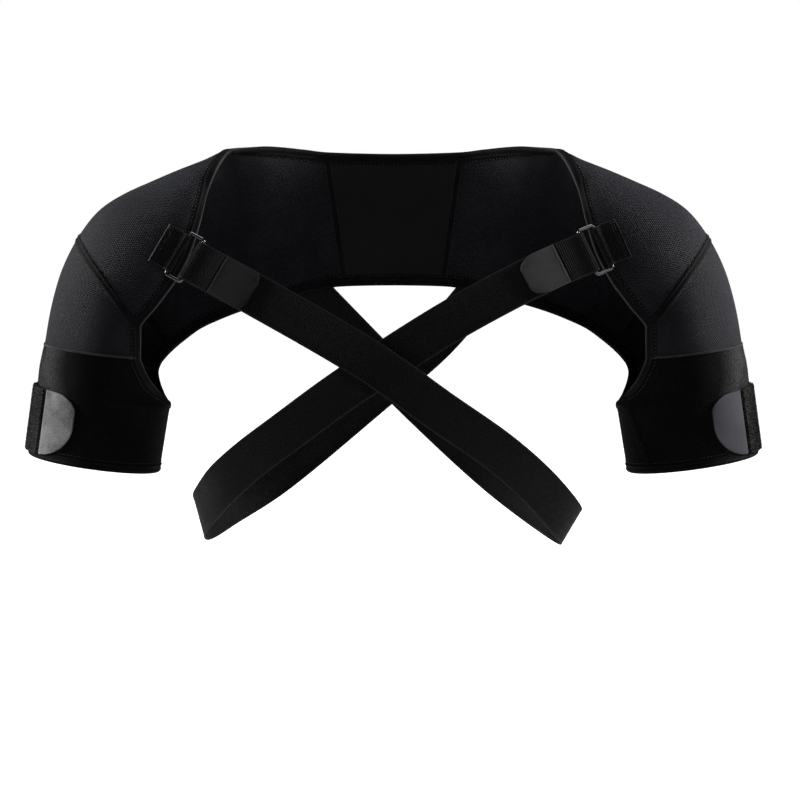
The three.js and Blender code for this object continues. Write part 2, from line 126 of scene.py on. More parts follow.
# Thread lies this far over the cloth.
THREAD_LIFT = 0.00005

# Rounds of correction when a point of the shell is sought, from one close by and from far off.
NEAR_ROUNDS = 6
FAR_ROUNDS = 20

# Sections of the shell from a cuff hem to the middle of the back, as in the part's source.
SECTION_COLUMNS = ["outX", "outZ", "frontX", "frontZ", "frontTurn", "frontDepth",
                   "rearX", "rearZ", "rearTurn", "rearDepth", "rearmost"]
SECTION_ROWS = [
    [1.000, -0.722, 0.642, -0.783, 180, 0.97, 0.642, -0.783, 180, 0.97, 0.293],
    [0.975, -0.516, 0.613, -0.577, 180, 1.00, 0.613, -0.577, 180, 1.00, 0.270],
    [0.968, -0.450, 0.666, -0.487, 134, 0.98, 0.648, -0.537, 147, 1.00, 0.268],
    [0.955, -0.382, 0.687, -0.415, 119, 1.01, 0.661, -0.488, 132, 1.03, 0.249],
    [0.940, -0.285, 0.686, -0.385, 116, 1.05, 0.655, -0.460, 126, 1.07, 0.220],
    [0.912, -0.165, 0.685, -0.352, 113, 1.05, 0.644, -0.440, 120, 1.13, 0.176],
    [0.862, -0.045, 0.685, -0.316, 109, 1.04, 0.624, -0.415, 115, 1.19, 0.132],
    [0.800, 0.045, 0.637, -0.243, 105, 1.05, 0.588, -0.380, 112, 1.26, 0.081],
    [0.733, 0.095, 0.585, -0.160, 102, 1.02, 0.546, -0.345, 108, 1.29, 0.059],
    [0.665, 0.131, 0.546, -0.070, 98, 0.95, 0.497, -0.318, 105, 1.29, 0.047],
    [0.597, 0.165, 0.521, 0.030, 92, 0.80, 0.450, -0.296, 102, 1.28, 0.037],
    [0.520, 0.200, 0.501, 0.130, 78, 0.52, 0.415, -0.282, 100, 1.26, 0.030],
    [0.445, 0.234, 0.445, 0.234, 0, 0.40, 0.372, -0.267, 98, 1.23, 0.024],
    [0.365, 0.236, 0.365, 0.236, -20, 0.30, 0.311, -0.250, 96, 1.21, 0.018],
    [0.262, 0.223, 0.262, 0.223, -45, 0.20, 0.229, -0.222, 94, 1.20, 0.010],
    [0.188, 0.212, 0.188, 0.212, -56, 0.10, 0.138, -0.206, 93, 1.18, 0.000],
    [0.000, 0.206, 0.000, 0.206, -60, 0.00, 0.000, -0.203, 93, 1.12, -0.012],
]

# Places along the shell, counted in sections from the wearer's right cuff hem.
ARMPIT = 1
CUFF_SEAM = 3
DIAGONAL_SEAM = 6
BACK_SEAM = 15
MIDDLE = len(SECTION_ROWS) - 1
FAR_HEM = 2 * MIDDLE

# Routes of the chest straps from the ring to the sewn end, as in the part's source.
RIGHT_ROUTE = [
    [1.030, -0.820, -0.120, 32],
    [0.733, -0.895, -0.210, 33],
    [0.113, -1.000, -0.430, 35],
    [-0.240, -0.990, -0.587, 36],
    [-0.550, -0.905, -0.728, 38],
    [-0.763, -0.768, -0.853, 37],
    [-0.946, -0.484, -1.006, 30],
    [-0.836, -0.168, -0.990, 33],
    [-0.564, -0.010, -0.870, 39],
    [-0.150, 0.055, -0.634, 44],
    [0.210, 0.055, -0.404, 45],
    [0.492, 0.040, -0.218, 46],
    [0.643, 0.030, -0.119, 46],
]
LEFT_ROUTE = [
    [1.008, -0.820, -0.093, 27],
    [0.680, -0.890, -0.172, 26],
    [0.296, -0.945, -0.300, 29],
    [-0.235, -0.945, -0.514, 33],
    [-0.577, -0.900, -0.673, 33],
    [-0.746, -0.830, -0.756, 32],
    [-0.887, -0.720, -0.839, 27],
    [-0.978, -0.580, -0.911, 20],
    [-1.037, -0.420, -0.973, 14],
    [-1.019, -0.290, -1.002, 17],
    [-0.897, -0.130, -0.965, 28],
    [-0.652, -0.020, -0.873, 35],
    [-0.100, 0.034, -0.589, 40],
    [0.226, 0.034, -0.414, 42],
    [0.487, 0.040, -0.222, 47],
    [0.620, 0.030, -0.122, 48],
]
SIDES = [
    {"name": "right", "side": -1, "ring_x": 0.579, "ring_z": -0.086, "route": RIGHT_ROUTE,
     "round_tab": 0.15, "hook": "dark_hook", "cut_end": "cut_end", "cuff_tab": "felt"},
    {"name": "left", "side": 1, "ring_x": 0.565, "ring_z": -0.066, "route": LEFT_ROUTE,
     "round_tab": 0.45, "hook": "hook", "cut_end": "webbing", "cuff_tab": "slate"},
]
MIRRORED = (("right", False), ("left", True))
FACES = (("outer", 1), ("inner", -1))

# Near which place and share across a ring's webbing and a chest strap's end lie on the shell.
RING_SEAT = (8.5, 0.1)
SEWN_SEAT = (13.5, 0.85)

# Camera of the photograph: level with the chest, three metres away, tipped down by five degrees.
CAMERA_PLACE = (0.0058, -2.9988, 0.0980)
CAMERA_PITCH = 85
CAMERA_LENS = 150
CAMERA_SENSOR = 36


def make_camera():
    lens = bpy.data.cameras.new("camera")
    lens.lens = CAMERA_LENS
    lens.sensor_width = CAMERA_SENSOR
    camera = bpy.data.objects.new("camera", lens)
    camera.location = CAMERA_PLACE
    camera.rotation_euler = (math.radians(CAMERA_PITCH), 0, 0)
    bpy.context.collection.objects.link(camera)
    bpy.context.scene.camera = camera


# Numbers on arrays of points.
def unit(v):
    return v / np.linalg.norm(v, axis=-1, keepdims=True)


def dot(a, b):
    return np.sum(a * b, axis=-1)


def smoothstep(x, low, high):
    t = np.clip((x - low) / (high - low), 0, 1)
    return t * t * (3 - 2 * t)


def path_length(points):
    steps = np.linalg.norm(np.diff(points, axis=0), axis=-1)
    return np.concatenate([np.zeros((1,) + steps.shape[1:]), np.cumsum(steps, axis=0)])


# Shell of the brace.
def both_halves():
    half = np.array(SECTION_ROWS, dtype=float)
    signs = np.array([-1 if column.endswith("X") else 1 for column in SECTION_COLUMNS])
    return np.concatenate([half * signs, half[:-1][::-1]])


SECTIONS = both_halves()


def slopes_of(rows):
    before = np.zeros_like(rows)
    after = np.zeros_like(rows)
    before[1:] = rows[1:] - rows[:-1]
    after[:-1] = rows[1:] - rows[:-1]
    total = np.where(before + after == 0, 1, before + after)
    slopes = np.where(before * after > 0, 2 * before * after / total, 0)
    slopes[ARMPIT] = after[ARMPIT]
    slopes[FAR_HEM - ARMPIT] = before[FAR_HEM - ARMPIT]
    return slopes


SLOPES = slopes_of(SECTIONS)


def section_at(place):
    k = np.clip(np.asarray(place, dtype=float), 0, FAR_HEM)
    i = np.minimum(np.floor(k).astype(int), FAR_HEM - 1)
    t = (k - i)[..., None]
    straight = ((i < ARMPIT) | (i >= FAR_HEM - ARMPIT))[..., None]
    a = SECTIONS[i]
    b = SECTIONS[i + 1]
    curve = a + (b - a) * t * t * (3 - 2 * t)
    curve = curve + SLOPES[i] * t * (1 - t) ** 2 + SLOPES[i + 1] * t * t * (t - 1)
    rows = np.where(straight, a + (b - a) * t, curve)
    return {column: rows[..., n] for n, column in enumerate(SECTION_COLUMNS)}


def hoop_point(place, turn):
    """Outer face of the shell at a place along it and a turn round the section."""
    s = section_at(place)
    start = np.radians(np.maximum(-s["frontTurn"], 0))
    angle = np.radians(turn)
    to_front = (angle < 0) & (s["frontTurn"] > 0)
    end = np.radians(np.where(to_front, s["frontTurn"], s["rearTurn"]))
    share = (np.cos(start) - np.cos(angle)) / (np.cos(start) - np.cos(end))
    edge_x = np.where(to_front, s["frontX"], s["rearX"])
    edge_z = np.where(to_front, s["frontZ"], s["rearZ"])
    front = ARM_DEPTH * (s["frontDepth"] * np.sin(angle) - s["rearDepth"])
    rear = ARM_DEPTH * s["rearDepth"] * (np.sin(angle) - 1)
    return np.stack([
        REACH * (s["outX"] + (edge_x - s["outX"]) * share),
        np.where(to_front, front, rear) - ARM_FORWARD * s["rearmost"],
        DROP * (s["outZ"] + (edge_z - s["outZ"]) * share),
    ], axis=-1)


def turn_at(place, across):
    s = section_at(place)
    return -s["frontTurn"] + (s["rearTurn"] + s["frontTurn"]) * across


def hoop_normal(place, turn):
    along = hoop_point(place + 0.02, turn) - hoop_point(place - 0.02, turn)
    round_it = hoop_point(place, turn + 1) - hoop_point(place, turn - 1)
    return unit(np.cross(along, round_it))


def raw_shell(place, across):
    place, across = np.broadcast_arrays(np.asarray(place, float), np.asarray(across, float))
    turn = turn_at(place, across)
    return hoop_point(place, turn), hoop_normal(place, turn)


# The origin is the middle of the back panel's inner face.
BACK_MIDDLE, BACK_NORMAL = raw_shell(MIDDLE, 0.5)
ORIGIN = BACK_MIDDLE - NEOPRENE * BACK_NORMAL


def shell(place, across, height=0.0):
    """Point at a height over the outer face of the shell, and the normal there."""
    point, normal = raw_shell(place, across)
    return point - ORIGIN + normal * np.asarray(height)[..., None], normal


def shell_steps(place, across):
    """How far a point of the shell moves for one step of place, and of the share across."""
    ahead = np.minimum(place + 0.01, FAR_HEM)
    behind = np.maximum(place - 0.01, 0)
    along = (shell(ahead, across)[0] - shell(behind, across)[0]) / (ahead - behind)[..., None]
    round_it = (shell(place, across + 0.001)[0] - shell(place, across - 0.001)[0]) / 0.002
    return along, round_it


def beside(place, across, step):
    """Place and share across after a small step in space over the shell."""
    target = shell(place, across)[0] + step
    for _ in range(NEAR_ROUNDS):
        along, round_it = shell_steps(place, across)
        left = target - shell(place, across)[0]
        a, b, c = dot(along, along), dot(along, round_it), dot(round_it, round_it)
        p, q = dot(along, left), dot(round_it, left)
        area = a * c - b * b
        place = place + (c * p - b * q) / area
        across = across + (a * q - b * p) / area
    return place, across


def shell_below(x, z, guess):
    """Place and share across of the shell at a given x and z."""
    place = np.full(np.shape(x), float(guess[0]))
    across = np.full(np.shape(x), float(guess[1]))
    for _ in range(FAR_ROUNDS):
        p, _normal = shell(place, across)
        along, round_it = shell_steps(place, across)
        area = along[..., 0] * round_it[..., 2] - along[..., 2] * round_it[..., 0]
        dx = x - p[..., 0]
        dz = z - p[..., 2]
        place = place + np.clip((dx * round_it[..., 2] - dz * round_it[..., 0]) / area, -0.5, 0.5)
        across = across + np.clip((along[..., 0] * dz - along[..., 2] * dx) / area, -0.1, 0.1)
    return place, across


# Meshes from rows of points.
def mesh_object(name, points, faces, uvs, closed_solid=False):
    mesh = bpy.data.meshes.new(name)
    mesh.from_pydata(points.tolist(), [], faces)
    layer = mesh.uv_layers.new(name="cloth")
    layer.data.foreach_set("uv", np.asarray(uvs, dtype=np.float32).ravel())
    mesh.polygons.foreach_set("use_smooth", [True] * len(faces))
    work = bmesh.new()
    work.from_mesh(mesh)
    bmesh.ops.remove_doubles(work, verts=work.verts, dist=2e-6)
    if closed_solid and work.calc_volume(signed=True) < 0:
        bmesh.ops.reverse_faces(work, faces=work.faces)
    work.to_mesh(mesh)
    work.free()
    piece = bpy.data.objects.new(name, mesh)
    bpy.context.collection.objects.link(piece)
    return piece


def grid_faces(rows, columns):
    """Faces of a grid of points, each as four point numbers."""
    index = np.arange(rows * columns).reshape(rows, columns)
    quads = np.stack([index[:-1, :-1], index[1:, :-1], index[1:, 1:], index[:-1, 1:]], axis=-1)
    return quads.reshape(-1, 4)


def strip_uv(round_it, along):
    """UV map of rings of points, by the way round them and the way along."""
    return np.stack(np.broadcast_arrays(round_it[None, :], along[:, None]), axis=-1)


def cloth(name, points, thick):
    """A wall of cloth below a grid of points, with its arc lengths as a UV map."""
    rows, columns = points.shape[:2]
    u = path_length(points.swapaxes(0, 1)).T
    u = u - u[:, columns // 2:columns // 2 + 1]
    v = np.repeat(path_length(points).mean(axis=1)[:, None], columns, axis=1)
    uv = np.stack([u, v], axis=-1).reshape(-1, 2)
    faces = grid_faces(rows, columns)
    piece = mesh_object(name, points.reshape(-1, 3), faces.tolist(), uv[faces.ravel()])
    wall = piece.modifiers.new("wall", "SOLIDIFY")
    wall.thickness = thick
    wall.offset = -1
    return piece


def loft(name, rings, uv, closed=False, lap=0.0):
    """A solid through rings of points, closed on itself or capped. lap is its length if closed."""
    count, size = rings.shape[:2]
    index = np.arange(count * size).reshape(count, size)
    here = index if closed else index[:-1]
    after = np.roll(index, -1, axis=0) if closed else index[1:]
    quads = np.stack([here, np.roll(here, -1, axis=1), np.roll(after, -1, axis=1), after], axis=-1)
    faces = quads.reshape(-1, 4)
    flat_uv = uv.reshape(-1, 2)
    uvs = flat_uv[faces].copy()
    if closed:
        uvs[-size:, 2:, 1] += lap
    faces = faces.tolist()
    uvs = uvs.reshape(-1, 2)
    if not closed:
        faces += [index[0][::-1].tolist(), index[-1].tolist()]
        uvs = np.concatenate([uvs, flat_uv[index[0][::-1]], flat_uv[index[-1]]])
    return mesh_object(name, rings.reshape(-1, 3), faces, uvs, closed_solid=True)


def finer(route, step):
    """A route with points put in between, so that none lie further apart than a step."""
    route = np.asarray(route, dtype=float)
    result = [route[:1]]
    for a, b in zip(route[:-1], route[1:]):
        count = max(1, math.ceil(np.linalg.norm(b - a) / step))
        t = np.arange(1, count + 1)[:, None] / count
        result.append(a + (b - a) * t)
    return np.concatenate(result)


def band(name, route, thick, profile, place, width):
    """A band of cloth. profile holds shares across, each with its share of the thickness."""
    route = np.asarray(route, dtype=float)
    run = unit(np.gradient(route, axis=0))
    across = np.array([a for a, _ in profile])
    half = np.array([t for _, t in profile]) * thick / 2
    order = np.concatenate([across, across[::-1]])
    lift = np.concatenate([half, -half[::-1]])
    along = route[:, :1] - run[:, 1:] * lift
    height = route[:, 1:] + run[:, :1] * lift
    rings = place(along, height, np.broadcast_to(order, along.shape))
    v = np.broadcast_to(path_length(route)[:, None], along.shape)
    u = np.broadcast_to(order * width / 2, along.shape)
    return loft(name, rings, np.stack([u, v], axis=-1))


# Ways of building node trees.
def node_group(name, kind, inputs, outputs):
    tree = bpy.data.node_groups.new(name, kind)
    for label, socket in inputs:
        tree.interface.new_socket(label, in_out="INPUT", socket_type=f"NodeSocket{socket}")
    for label, socket in outputs:
        tree.interface.new_socket(label, in_out="OUTPUT", socket_type=f"NodeSocket{socket}")
    return tree, tree.nodes.new("NodeGroupInput"), tree.nodes.new("NodeGroupOutput")


def put(socket, value):
    """Sets a socket to a value, or links another socket to it."""
    if isinstance(value, bpy.types.NodeSocket):
        socket.id_data.links.new(value, socket)
    else:
        socket.default_value = value


def sum_node(tree, operation, *values):
    node = tree.nodes.new("ShaderNodeMath")
    node.operation = operation
    for socket, value in zip(node.inputs, values):
        put(socket, value)
    return node.outputs[0]


def new_node(tree, kind, settings=(), **values):
    """A node with its settings and inputs. An input's name has underscores for spaces."""
    node = tree.nodes.new(kind)
    for label, value in settings:
        setattr(node, label, value)
    for label, value in values.items():
        put(node.inputs[label.replace("_", " ")], value)
    return node


# Effects that several finishes share. Vectors are in metres.
def mesh_weave_group():
    """Staggered knit cells: high on the threads, low in the holes."""
    tree, given, made = node_group(
        "mesh weave", "ShaderNodeTree",
        [("Vector", "Vector"), ("Cell Width", "Float"), ("Cell Length", "Float")],
        [("Height", "Float")])
    parts = new_node(tree, "ShaderNodeSeparateXYZ", Vector=given.outputs["Vector"])
    across, along = (
        sum_node(tree, "DIVIDE", sum_node(tree, "MULTIPLY", parts.outputs[axis], math.pi),
                 given.outputs[size])
        for axis, size in (("X", "Cell Width"), ("Y", "Cell Length")))
    even, odd = (
        sum_node(tree, "MULTIPLY", sum_node(tree, wave, across), sum_node(tree, wave, along))
        for wave in ("COSINE", "SINE"))
    holes = sum_node(tree, "ADD", sum_node(tree, "ABSOLUTE", even), sum_node(tree, "ABSOLUTE", odd))
    depth = sum_node(tree, "POWER", holes, 3.0)
    put(made.inputs["Height"], sum_node(tree, "SUBTRACT", 1.0, depth))
    return tree


def rib_group():
    """Cross ribs of webbing, with the finer lines of the warp between its edges."""
    tree, given, made = node_group(
        "webbing ribs", "ShaderNodeTree",
        [("Vector", "Vector"), ("Rib Pitch", "Float"), ("Warp Pitch", "Float")],
        [("Height", "Float")])
    parts = new_node(tree, "ShaderNodeSeparateXYZ", Vector=given.outputs["Vector"])
    waves = []
    for axis, pitch, rise, middle in (("Y", "Rib Pitch", 0.5, 0.5), ("X", "Warp Pitch", 0.12, 0.0)):
        turns = sum_node(tree, "DIVIDE", parts.outputs[axis], given.outputs[pitch])
        wave = sum_node(tree, "COSINE", sum_node(tree, "MULTIPLY", turns, 2 * math.pi))
        waves.append(sum_node(tree, "MULTIPLY_ADD", wave, rise, middle))
    put(made.inputs["Height"], sum_node(tree, "ADD", *waves))
    return tree


def cloud_group():
    """Slow and fine unevenness of dyed cloth, round a middle of one half."""
    tree, given, made = node_group(
        "cloth clouds", "ShaderNodeTree",
        [("Vector", "Vector"), ("Slow Scale", "Float"), ("Fine Scale", "Float"),
         ("Fine Share", "Float")],
        [("Tone", "Float")])
    slow, fine = (
        new_node(tree, "ShaderNodeTexNoise", Vector=given.outputs["Vector"],
                 Scale=given.outputs[scale], Detail=detail).outputs[0]
        for scale, detail in (("Slow Scale", 3.0), ("Fine Scale", 2.0)))
    mixed = new_node(tree, "ShaderNodeMix", Factor=given.outputs["Fine Share"], A=slow, B=fine)
    put(made.inputs["Tone"], mixed.outputs["Result"])
    return tree


MESH_WEAVE = mesh_weave_group()
RIBS = rib_group()
CLOUDS = cloud_group()


def placed_group(tree, group, **values):
    return new_node(tree, "ShaderNodeGroup", [("node_tree", group)], **values).outputs[0]


def weave(tree, where, width, length):
    return placed_group(tree, MESH_WEAVE, Vector=where["UV"], Cell_Width=width, Cell_Length=length)


def ribs_over(tree, where, pitch, warp):
    return placed_group(tree, RIBS, Vector=where["UV"], Rib_Pitch=pitch, Warp_Pitch=warp)


def clouds(tree, where, slow, fine, share):
    """Tone of the cloth, from slow and fine clouds and the share of the fine ones."""
    return placed_group(tree, CLOUDS, Vector=where["Object"], Slow_Scale=slow, Fine_Scale=fine,
                        Fine_Share=share)


def across_piece(tree, where):
    """Distance across a piece, or round its section, by its own map."""
    return new_node(tree, "ShaderNodeSeparateXYZ", Vector=where["UV"]).outputs["X"]


def new_finish(name, roughness, sheen=0.0, sheen_tint=(1, 1, 1), coat=0.0, specular=0.2):
    """A material with its own shader, on which what is even all over is set."""
    material = bpy.data.materials.new(name)
    material.use_nodes = True
    tree = material.node_tree
    shader = tree.nodes["Principled BSDF"]
    even = {"Roughness": roughness, "Sheen Weight": sheen, "Sheen Roughness": 0.3,
            "Sheen Tint": (*sheen_tint, 1), "Coat Weight": coat, "Specular IOR Level": specular}
    for label, value in even.items():
        put(shader.inputs[label], value)
    where = tree.nodes.new("ShaderNodeTexCoord")
    return material, tree, shader, where.outputs


def between(tree, factor, low, high):
    """A colour between two, by a factor. Each is a colour or a socket."""
    node = new_node(tree, "ShaderNodeMix", [("data_type", "RGBA")], Factor=factor)
    for socket, value in ((node.inputs[6], low), (node.inputs[7], high)):
        put(socket, value if isinstance(value, bpy.types.NodeSocket) else (*value, 1))
    return node.outputs[2]


def ramp(tree, value, low, high, to_low=0.0, to_high=1.0):
    return new_node(tree, "ShaderNodeMapRange", Value=value, From_Min=low, From_Max=high,
                    To_Min=to_low, To_Max=to_high).outputs[0]


def coloured(shader, colour):
    put(shader.inputs["Base Color"], colour)


def roughened(tree, shader, tone, span, low, high):
    """Roughness that follows the tone over a span of it."""
    put(shader.inputs["Roughness"], ramp(tree, tone, *span, low, high))


def bumped(tree, shader, height, distance, strength=1.0):
    node = new_node(tree, "ShaderNodeBump", Height=height, Distance=distance, Strength=strength)
    put(shader.inputs["Normal"], node.outputs[0])


# Spans of tone over which a colour or a roughness runs.
WIDE = (0.3, 0.7)
MIDDLING = (0.35, 0.65)
LOOPS = (0.42, 0.66)


def mesh_fabric():
    """Neoprene faced with a fine open knit."""
    material, tree, shader, where = new_finish("mesh_fabric", roughness=0.6, sheen=0.05,
                                               sheen_tint=(0.8, 0.85, 1.0), specular=0.05)
    cells = weave(tree, where, width=0.0021, length=0.0028)
    tone = clouds(tree, where, slow=22.0, fine=900.0, share=0.35)
    # Painted shade: the knit's holes are darker and its threads lighter, over random tone.
    lit_ridges_and_tone = sum_node(tree, "ADD", ramp(tree, cells, 0.0, 0.8),
                   ramp(tree, tone, *MIDDLING, -0.25, 0.25))
    coloured(shader, between(tree, lit_ridges_and_tone, (0.0012, 0.0012, 0.0018), (0.0150, 0.0150, 0.0190)))
    roughened(tree, shader, tone, WIDE, low=0.6, high=0.75)
    bumped(tree, shader, cells, distance=0.0005)
    return material


def smooth_fabric():
    """Neoprene faced with close smooth jersey."""
    material, tree, shader, where = new_finish("smooth_fabric", roughness=0.7, specular=0.06)
    tone = clouds(tree, where, slow=16.0, fine=1400.0, share=0.3)
    coloured(shader, between(tree, ramp(tree, tone, *WIDE),
                             (0.0036, 0.0036, 0.0037), (0.0072, 0.0072, 0.0074)))
    roughened(tree, shader, tone, WIDE, low=0.62, high=0.78)
    bumped(tree, shader, weave(tree, where, width=0.0009, length=0.0011), distance=0.00015,
           strength=0.7)
    return material


def pile_fabric(name, low, high, sheen):
    """Brushed loop pile. Its colour darkens with the noise that also sinks its bump, as painted
    shade between its loops.
    """
    material, tree, shader, where = new_finish(name, roughness=0.92, sheen=sheen, specular=0.05)
    tone = clouds(tree, where, slow=30.0, fine=700.0, share=0.7)
    coloured(shader, between(tree, ramp(tree, tone, *LOOPS), low, high))
    bumped(tree, shader, tone, distance=0.0020)
    return material


def cuff_fabric():
    """Black brushed cuff cloth, turning to grey loop pile round the outer side of the arm."""
    material, tree, shader, where = new_finish("cuff_fabric", roughness=0.92, sheen=0.02,
                                               specular=0.04)
    tone = clouds(tree, where, slow=30.0, fine=800.0, share=0.7)
    from_outer = sum_node(tree, "ABSOLUTE", across_piece(tree, where))
    landing = ramp(tree, from_outer, LANDING_FROM, LANDING_TO, 1.0, 0.0)
    # Painted shade: the colour darkens with the noise that also sinks the bump, between the loops.
    loops = ramp(tree, tone, *LOOPS)
    black = between(tree, loops, (0.0005, 0.0004, 0.0004), (0.0030, 0.0026, 0.0024))
    grey = between(tree, loops, (0.0075, 0.0074, 0.0075), (0.0320, 0.0315, 0.0320))
    coloured(shader, between(tree, landing, black, grey))
    bumped(tree, shader, tone, distance=0.0012)
    return material


# Tape: how far round it its fold lies, and the grey of the painted highlight along the fold, full
# within the first distance from the fold and gone at the second.
TAPE_FOLD = 0.0078
TAPE_HIGHLIGHT_GREY = (0.055, 0.055, 0.058)
FOLD_HIGHLIGHT_SPAN = (0.0006, 0.0016)


def binding_tape(name, low, high, rim=0.0):
    """Ribbed tape folded over an edge. rim is how far a painted highlight lightens its fold towards
    grey.
    """
    material, tree, shader, where = new_finish(name, roughness=0.75, specular=0.04)
    tone = clouds(tree, where, slow=40.0, fine=1100.0, share=0.4)
    # Painted highlight: a narrow line along the fold of the tape, lightened towards grey.
    past_fold = sum_node(tree, "SUBTRACT", across_piece(tree, where), TAPE_FOLD)
    near_fold = ramp(tree, sum_node(tree, "ABSOLUTE", past_fold), *FOLD_HIGHLIGHT_SPAN, rim, 0.0)
    fold_highlight = sum_node(tree, "MULTIPLY", near_fold, ramp(tree, tone, *WIDE, 0.5, 1.0))
    cloth_colour = between(tree, ramp(tree, tone, *MIDDLING), low, high)
    coloured(shader, between(tree, fold_highlight, cloth_colour, TAPE_HIGHLIGHT_GREY))
    bumped(tree, shader, ribs_over(tree, where, pitch=0.0009, warp=0.0012), distance=0.00012)
    return material


# Webbing: distances from its middle over which its woven edge, painted lighter as a highlight,
# begins.
EDGE_SPAN = (0.0160, 0.0168)


def elastic_webbing():
    """Ribbed webbing, with woven lines along both edges, lighter partly in their own colour and
    partly as a painted highlight where the edge catches light.
    """
    material, tree, shader, where = new_finish("elastic_webbing", roughness=0.6, specular=0.06)
    ribs = ribs_over(tree, where, pitch=0.0019, warp=0.0016)
    tone = clouds(tree, where, slow=25.0, fine=1200.0, share=0.4)
    edge = ramp(tree, sum_node(tree, "ABSOLUTE", across_piece(tree, where)), *EDGE_SPAN)
    # Painted shade: the ribs are lighter and the grooves between them darker, over random tone.
    lit_ridges_and_tone = sum_node(tree, "ADD", ramp(tree, ribs, 0.0, 1.0, 0.0, 0.6),
                   ramp(tree, tone, *WIDE, 0.0, 0.4))
    body = between(tree, lit_ridges_and_tone, (0.0012, 0.0010, 0.0011), (0.0040, 0.0032, 0.0038))
    # Woven edges, lighter in their own colour and as a painted highlight where the edge catches
    # light.
    coloured(shader, between(tree, sum_node(tree, "MULTIPLY", edge, 0.6), body,
                             (0.010, 0.009, 0.0095)))
    inside = sum_node(tree, "SUBTRACT", 1.0, edge)
    bumped(tree, shader, sum_node(tree, "MULTIPLY", ribs, inside), distance=0.00028)
    return material


def hook_tape(name, low, high, roughness=0.6):
    """Moulded hook tape in rows of fine points."""
    material, tree, shader, where = new_finish(name, roughness, specular=0.1)
    tone = clouds(tree, where, slow=60.0, fine=1500.0, share=0.55)
    coloured(shader, between(tree, ramp(tree, tone, *MIDDLING), low, high))
    roughened(tree, shader, tone, WIDE, roughness - 0.06, roughness + 0.08)
    bumped(tree, shader, weave(tree, where, width=0.0013, length=0.0013), distance=0.00015)
    return material


def ring_plastic():
    """Glossy moulded ring, with faint rub marks."""
    material, tree, shader, where = new_finish("ring_plastic", roughness=0.12, coat=0.4,
                                               specular=0.5)
    tone = clouds(tree, where, slow=90.0, fine=800.0, share=0.4)
    coloured(shader, between(tree, ramp(tree, tone, *WIDE),
                             (0.003, 0.003, 0.0035), (0.007, 0.007, 0.008)))
    roughened(tree, shader, tone, (0.35, 0.7), low=0.08, high=0.2)
    bumped(tree, shader, tone, distance=0.00005, strength=0.4)
    return material


def thread(name, low, high):
    """Sewing thread, with its twist as fine slanting bands."""
    material, tree, shader, where = new_finish(name, roughness=0.5, specular=0.2)
    twist = new_node(tree, "ShaderNodeTexWave", [("bands_direction", "DIAGONAL")],
                     Vector=where["Object"], Scale=900.0).outputs["Fac"]
    coloured(shader, between(tree, twist, low, high))
    bumped(tree, shader, twist, distance=0.0001)
    return material


# Each finish: its material and the slot that it belongs to.
FINISHES = {
    "mesh": (mesh_fabric(), "mesh_fabric"),
    "smooth": (smooth_fabric(), "smooth_fabric"),
    "pile": (pile_fabric("pile_fabric", (0.0005, 0.0004, 0.0004), (0.0042, 0.0038, 0.0036), 0.01),
             "pile_fabric"),
    "fuzz": (pile_fabric("strap_pile", (0.0055, 0.0054, 0.0055), (0.050, 0.049, 0.050), 0.03),
             "pile_fabric"),
    "tape": (binding_tape("binding_tape", (0.0012, 0.0012, 0.0014), (0.0040, 0.0040, 0.0046), 0.5),
             "binding_tape"),
    "hem": (binding_tape("hem_tape", (0.0004, 0.0004, 0.0004), (0.0016, 0.0015, 0.0015)),
            "binding_tape"),
    "piping": (binding_tape("piping_tape", (0.010, 0.010, 0.011), (0.030, 0.030, 0.032)),
               "binding_tape"),
    "cut_end": (binding_tape("cut_end_tape", (0.03, 0.03, 0.032), (0.075, 0.075, 0.078)),
                "binding_tape"),
    "cuff": (cuff_fabric(), "pile_fabric"),
    "webbing": (elastic_webbing(), "elastic_webbing"),
    "hook": (hook_tape("hook_tape", (0.021, 0.021, 0.0213), (0.029, 0.029, 0.0294)), "hook_tape"),
    "dark_hook": (hook_tape("dark_hook_tape", (0.0022, 0.0020, 0.0022), (0.0042, 0.0039, 0.0042)),
                  "hook_tape"),
    "felt": (hook_tape("hook_felt", (0.026, 0.025, 0.026), (0.150, 0.147, 0.150), 0.85),
             "hook_tape"),
    "slate": (hook_tape("hook_slate", (0.012, 0.012, 0.016), (0.026, 0.026, 0.033)), "hook_tape"),
    "ring": (ring_plastic(), "ring_plastic"),
    "thread": (thread("dark_thread", (0.0015, 0.0015, 0.0017), (0.006, 0.006, 0.0066)),
               "binding_tape"),
    "pale_thread": (thread("pale_thread", (0.008, 0.008, 0.009), (0.026, 0.026, 0.028)),
                    "binding_tape"),
}


def dress(piece, finish, *nodes):
    """Gives a piece its finish and its body, and hides the CAD nodes that it stands for."""
    material, slot = FINISHES[finish]
    piece.data.materials.clear()
    piece.data.materials.append(material)
    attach(piece, "root")
    if nodes:
        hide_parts(*nodes)
    return piece


# Thread and pile, grown by node trees.
def applied(piece):
    """The mesh of a piece with its modifiers applied."""
    view = bpy.context.evaluated_depsgraph_get()
    return bpy.data.meshes.new_from_object(piece.evaluated_get(view))


def grown(name, mesh, tree, values, finish):
    """The plain mesh that a tree grows from a mesh."""
    base = bpy.data.objects.new(f"{name}_base", mesh)
    bpy.context.collection.objects.link(base)
    modifier = base.modifiers.new(tree.name, "NODES")
    modifier.node_group = tree
    for item in tree.interface.items_tree:
        if item.in_out == "INPUT" and item.name in values:
            modifier[item.identifier] = values[item.name]
    result = applied(base)
    base.modifiers.remove(modifier)
    bpy.data.objects.remove(base)
    piece = bpy.data.objects.new(name, result)
    bpy.context.collection.objects.link(piece)
    return dress(piece, finish)


def steps_of(tree):
    """A way to add nodes to a tree that gives back the first output of each."""
    return lambda kind, settings=(), **values: new_node(tree, kind, settings, **values).outputs[0]


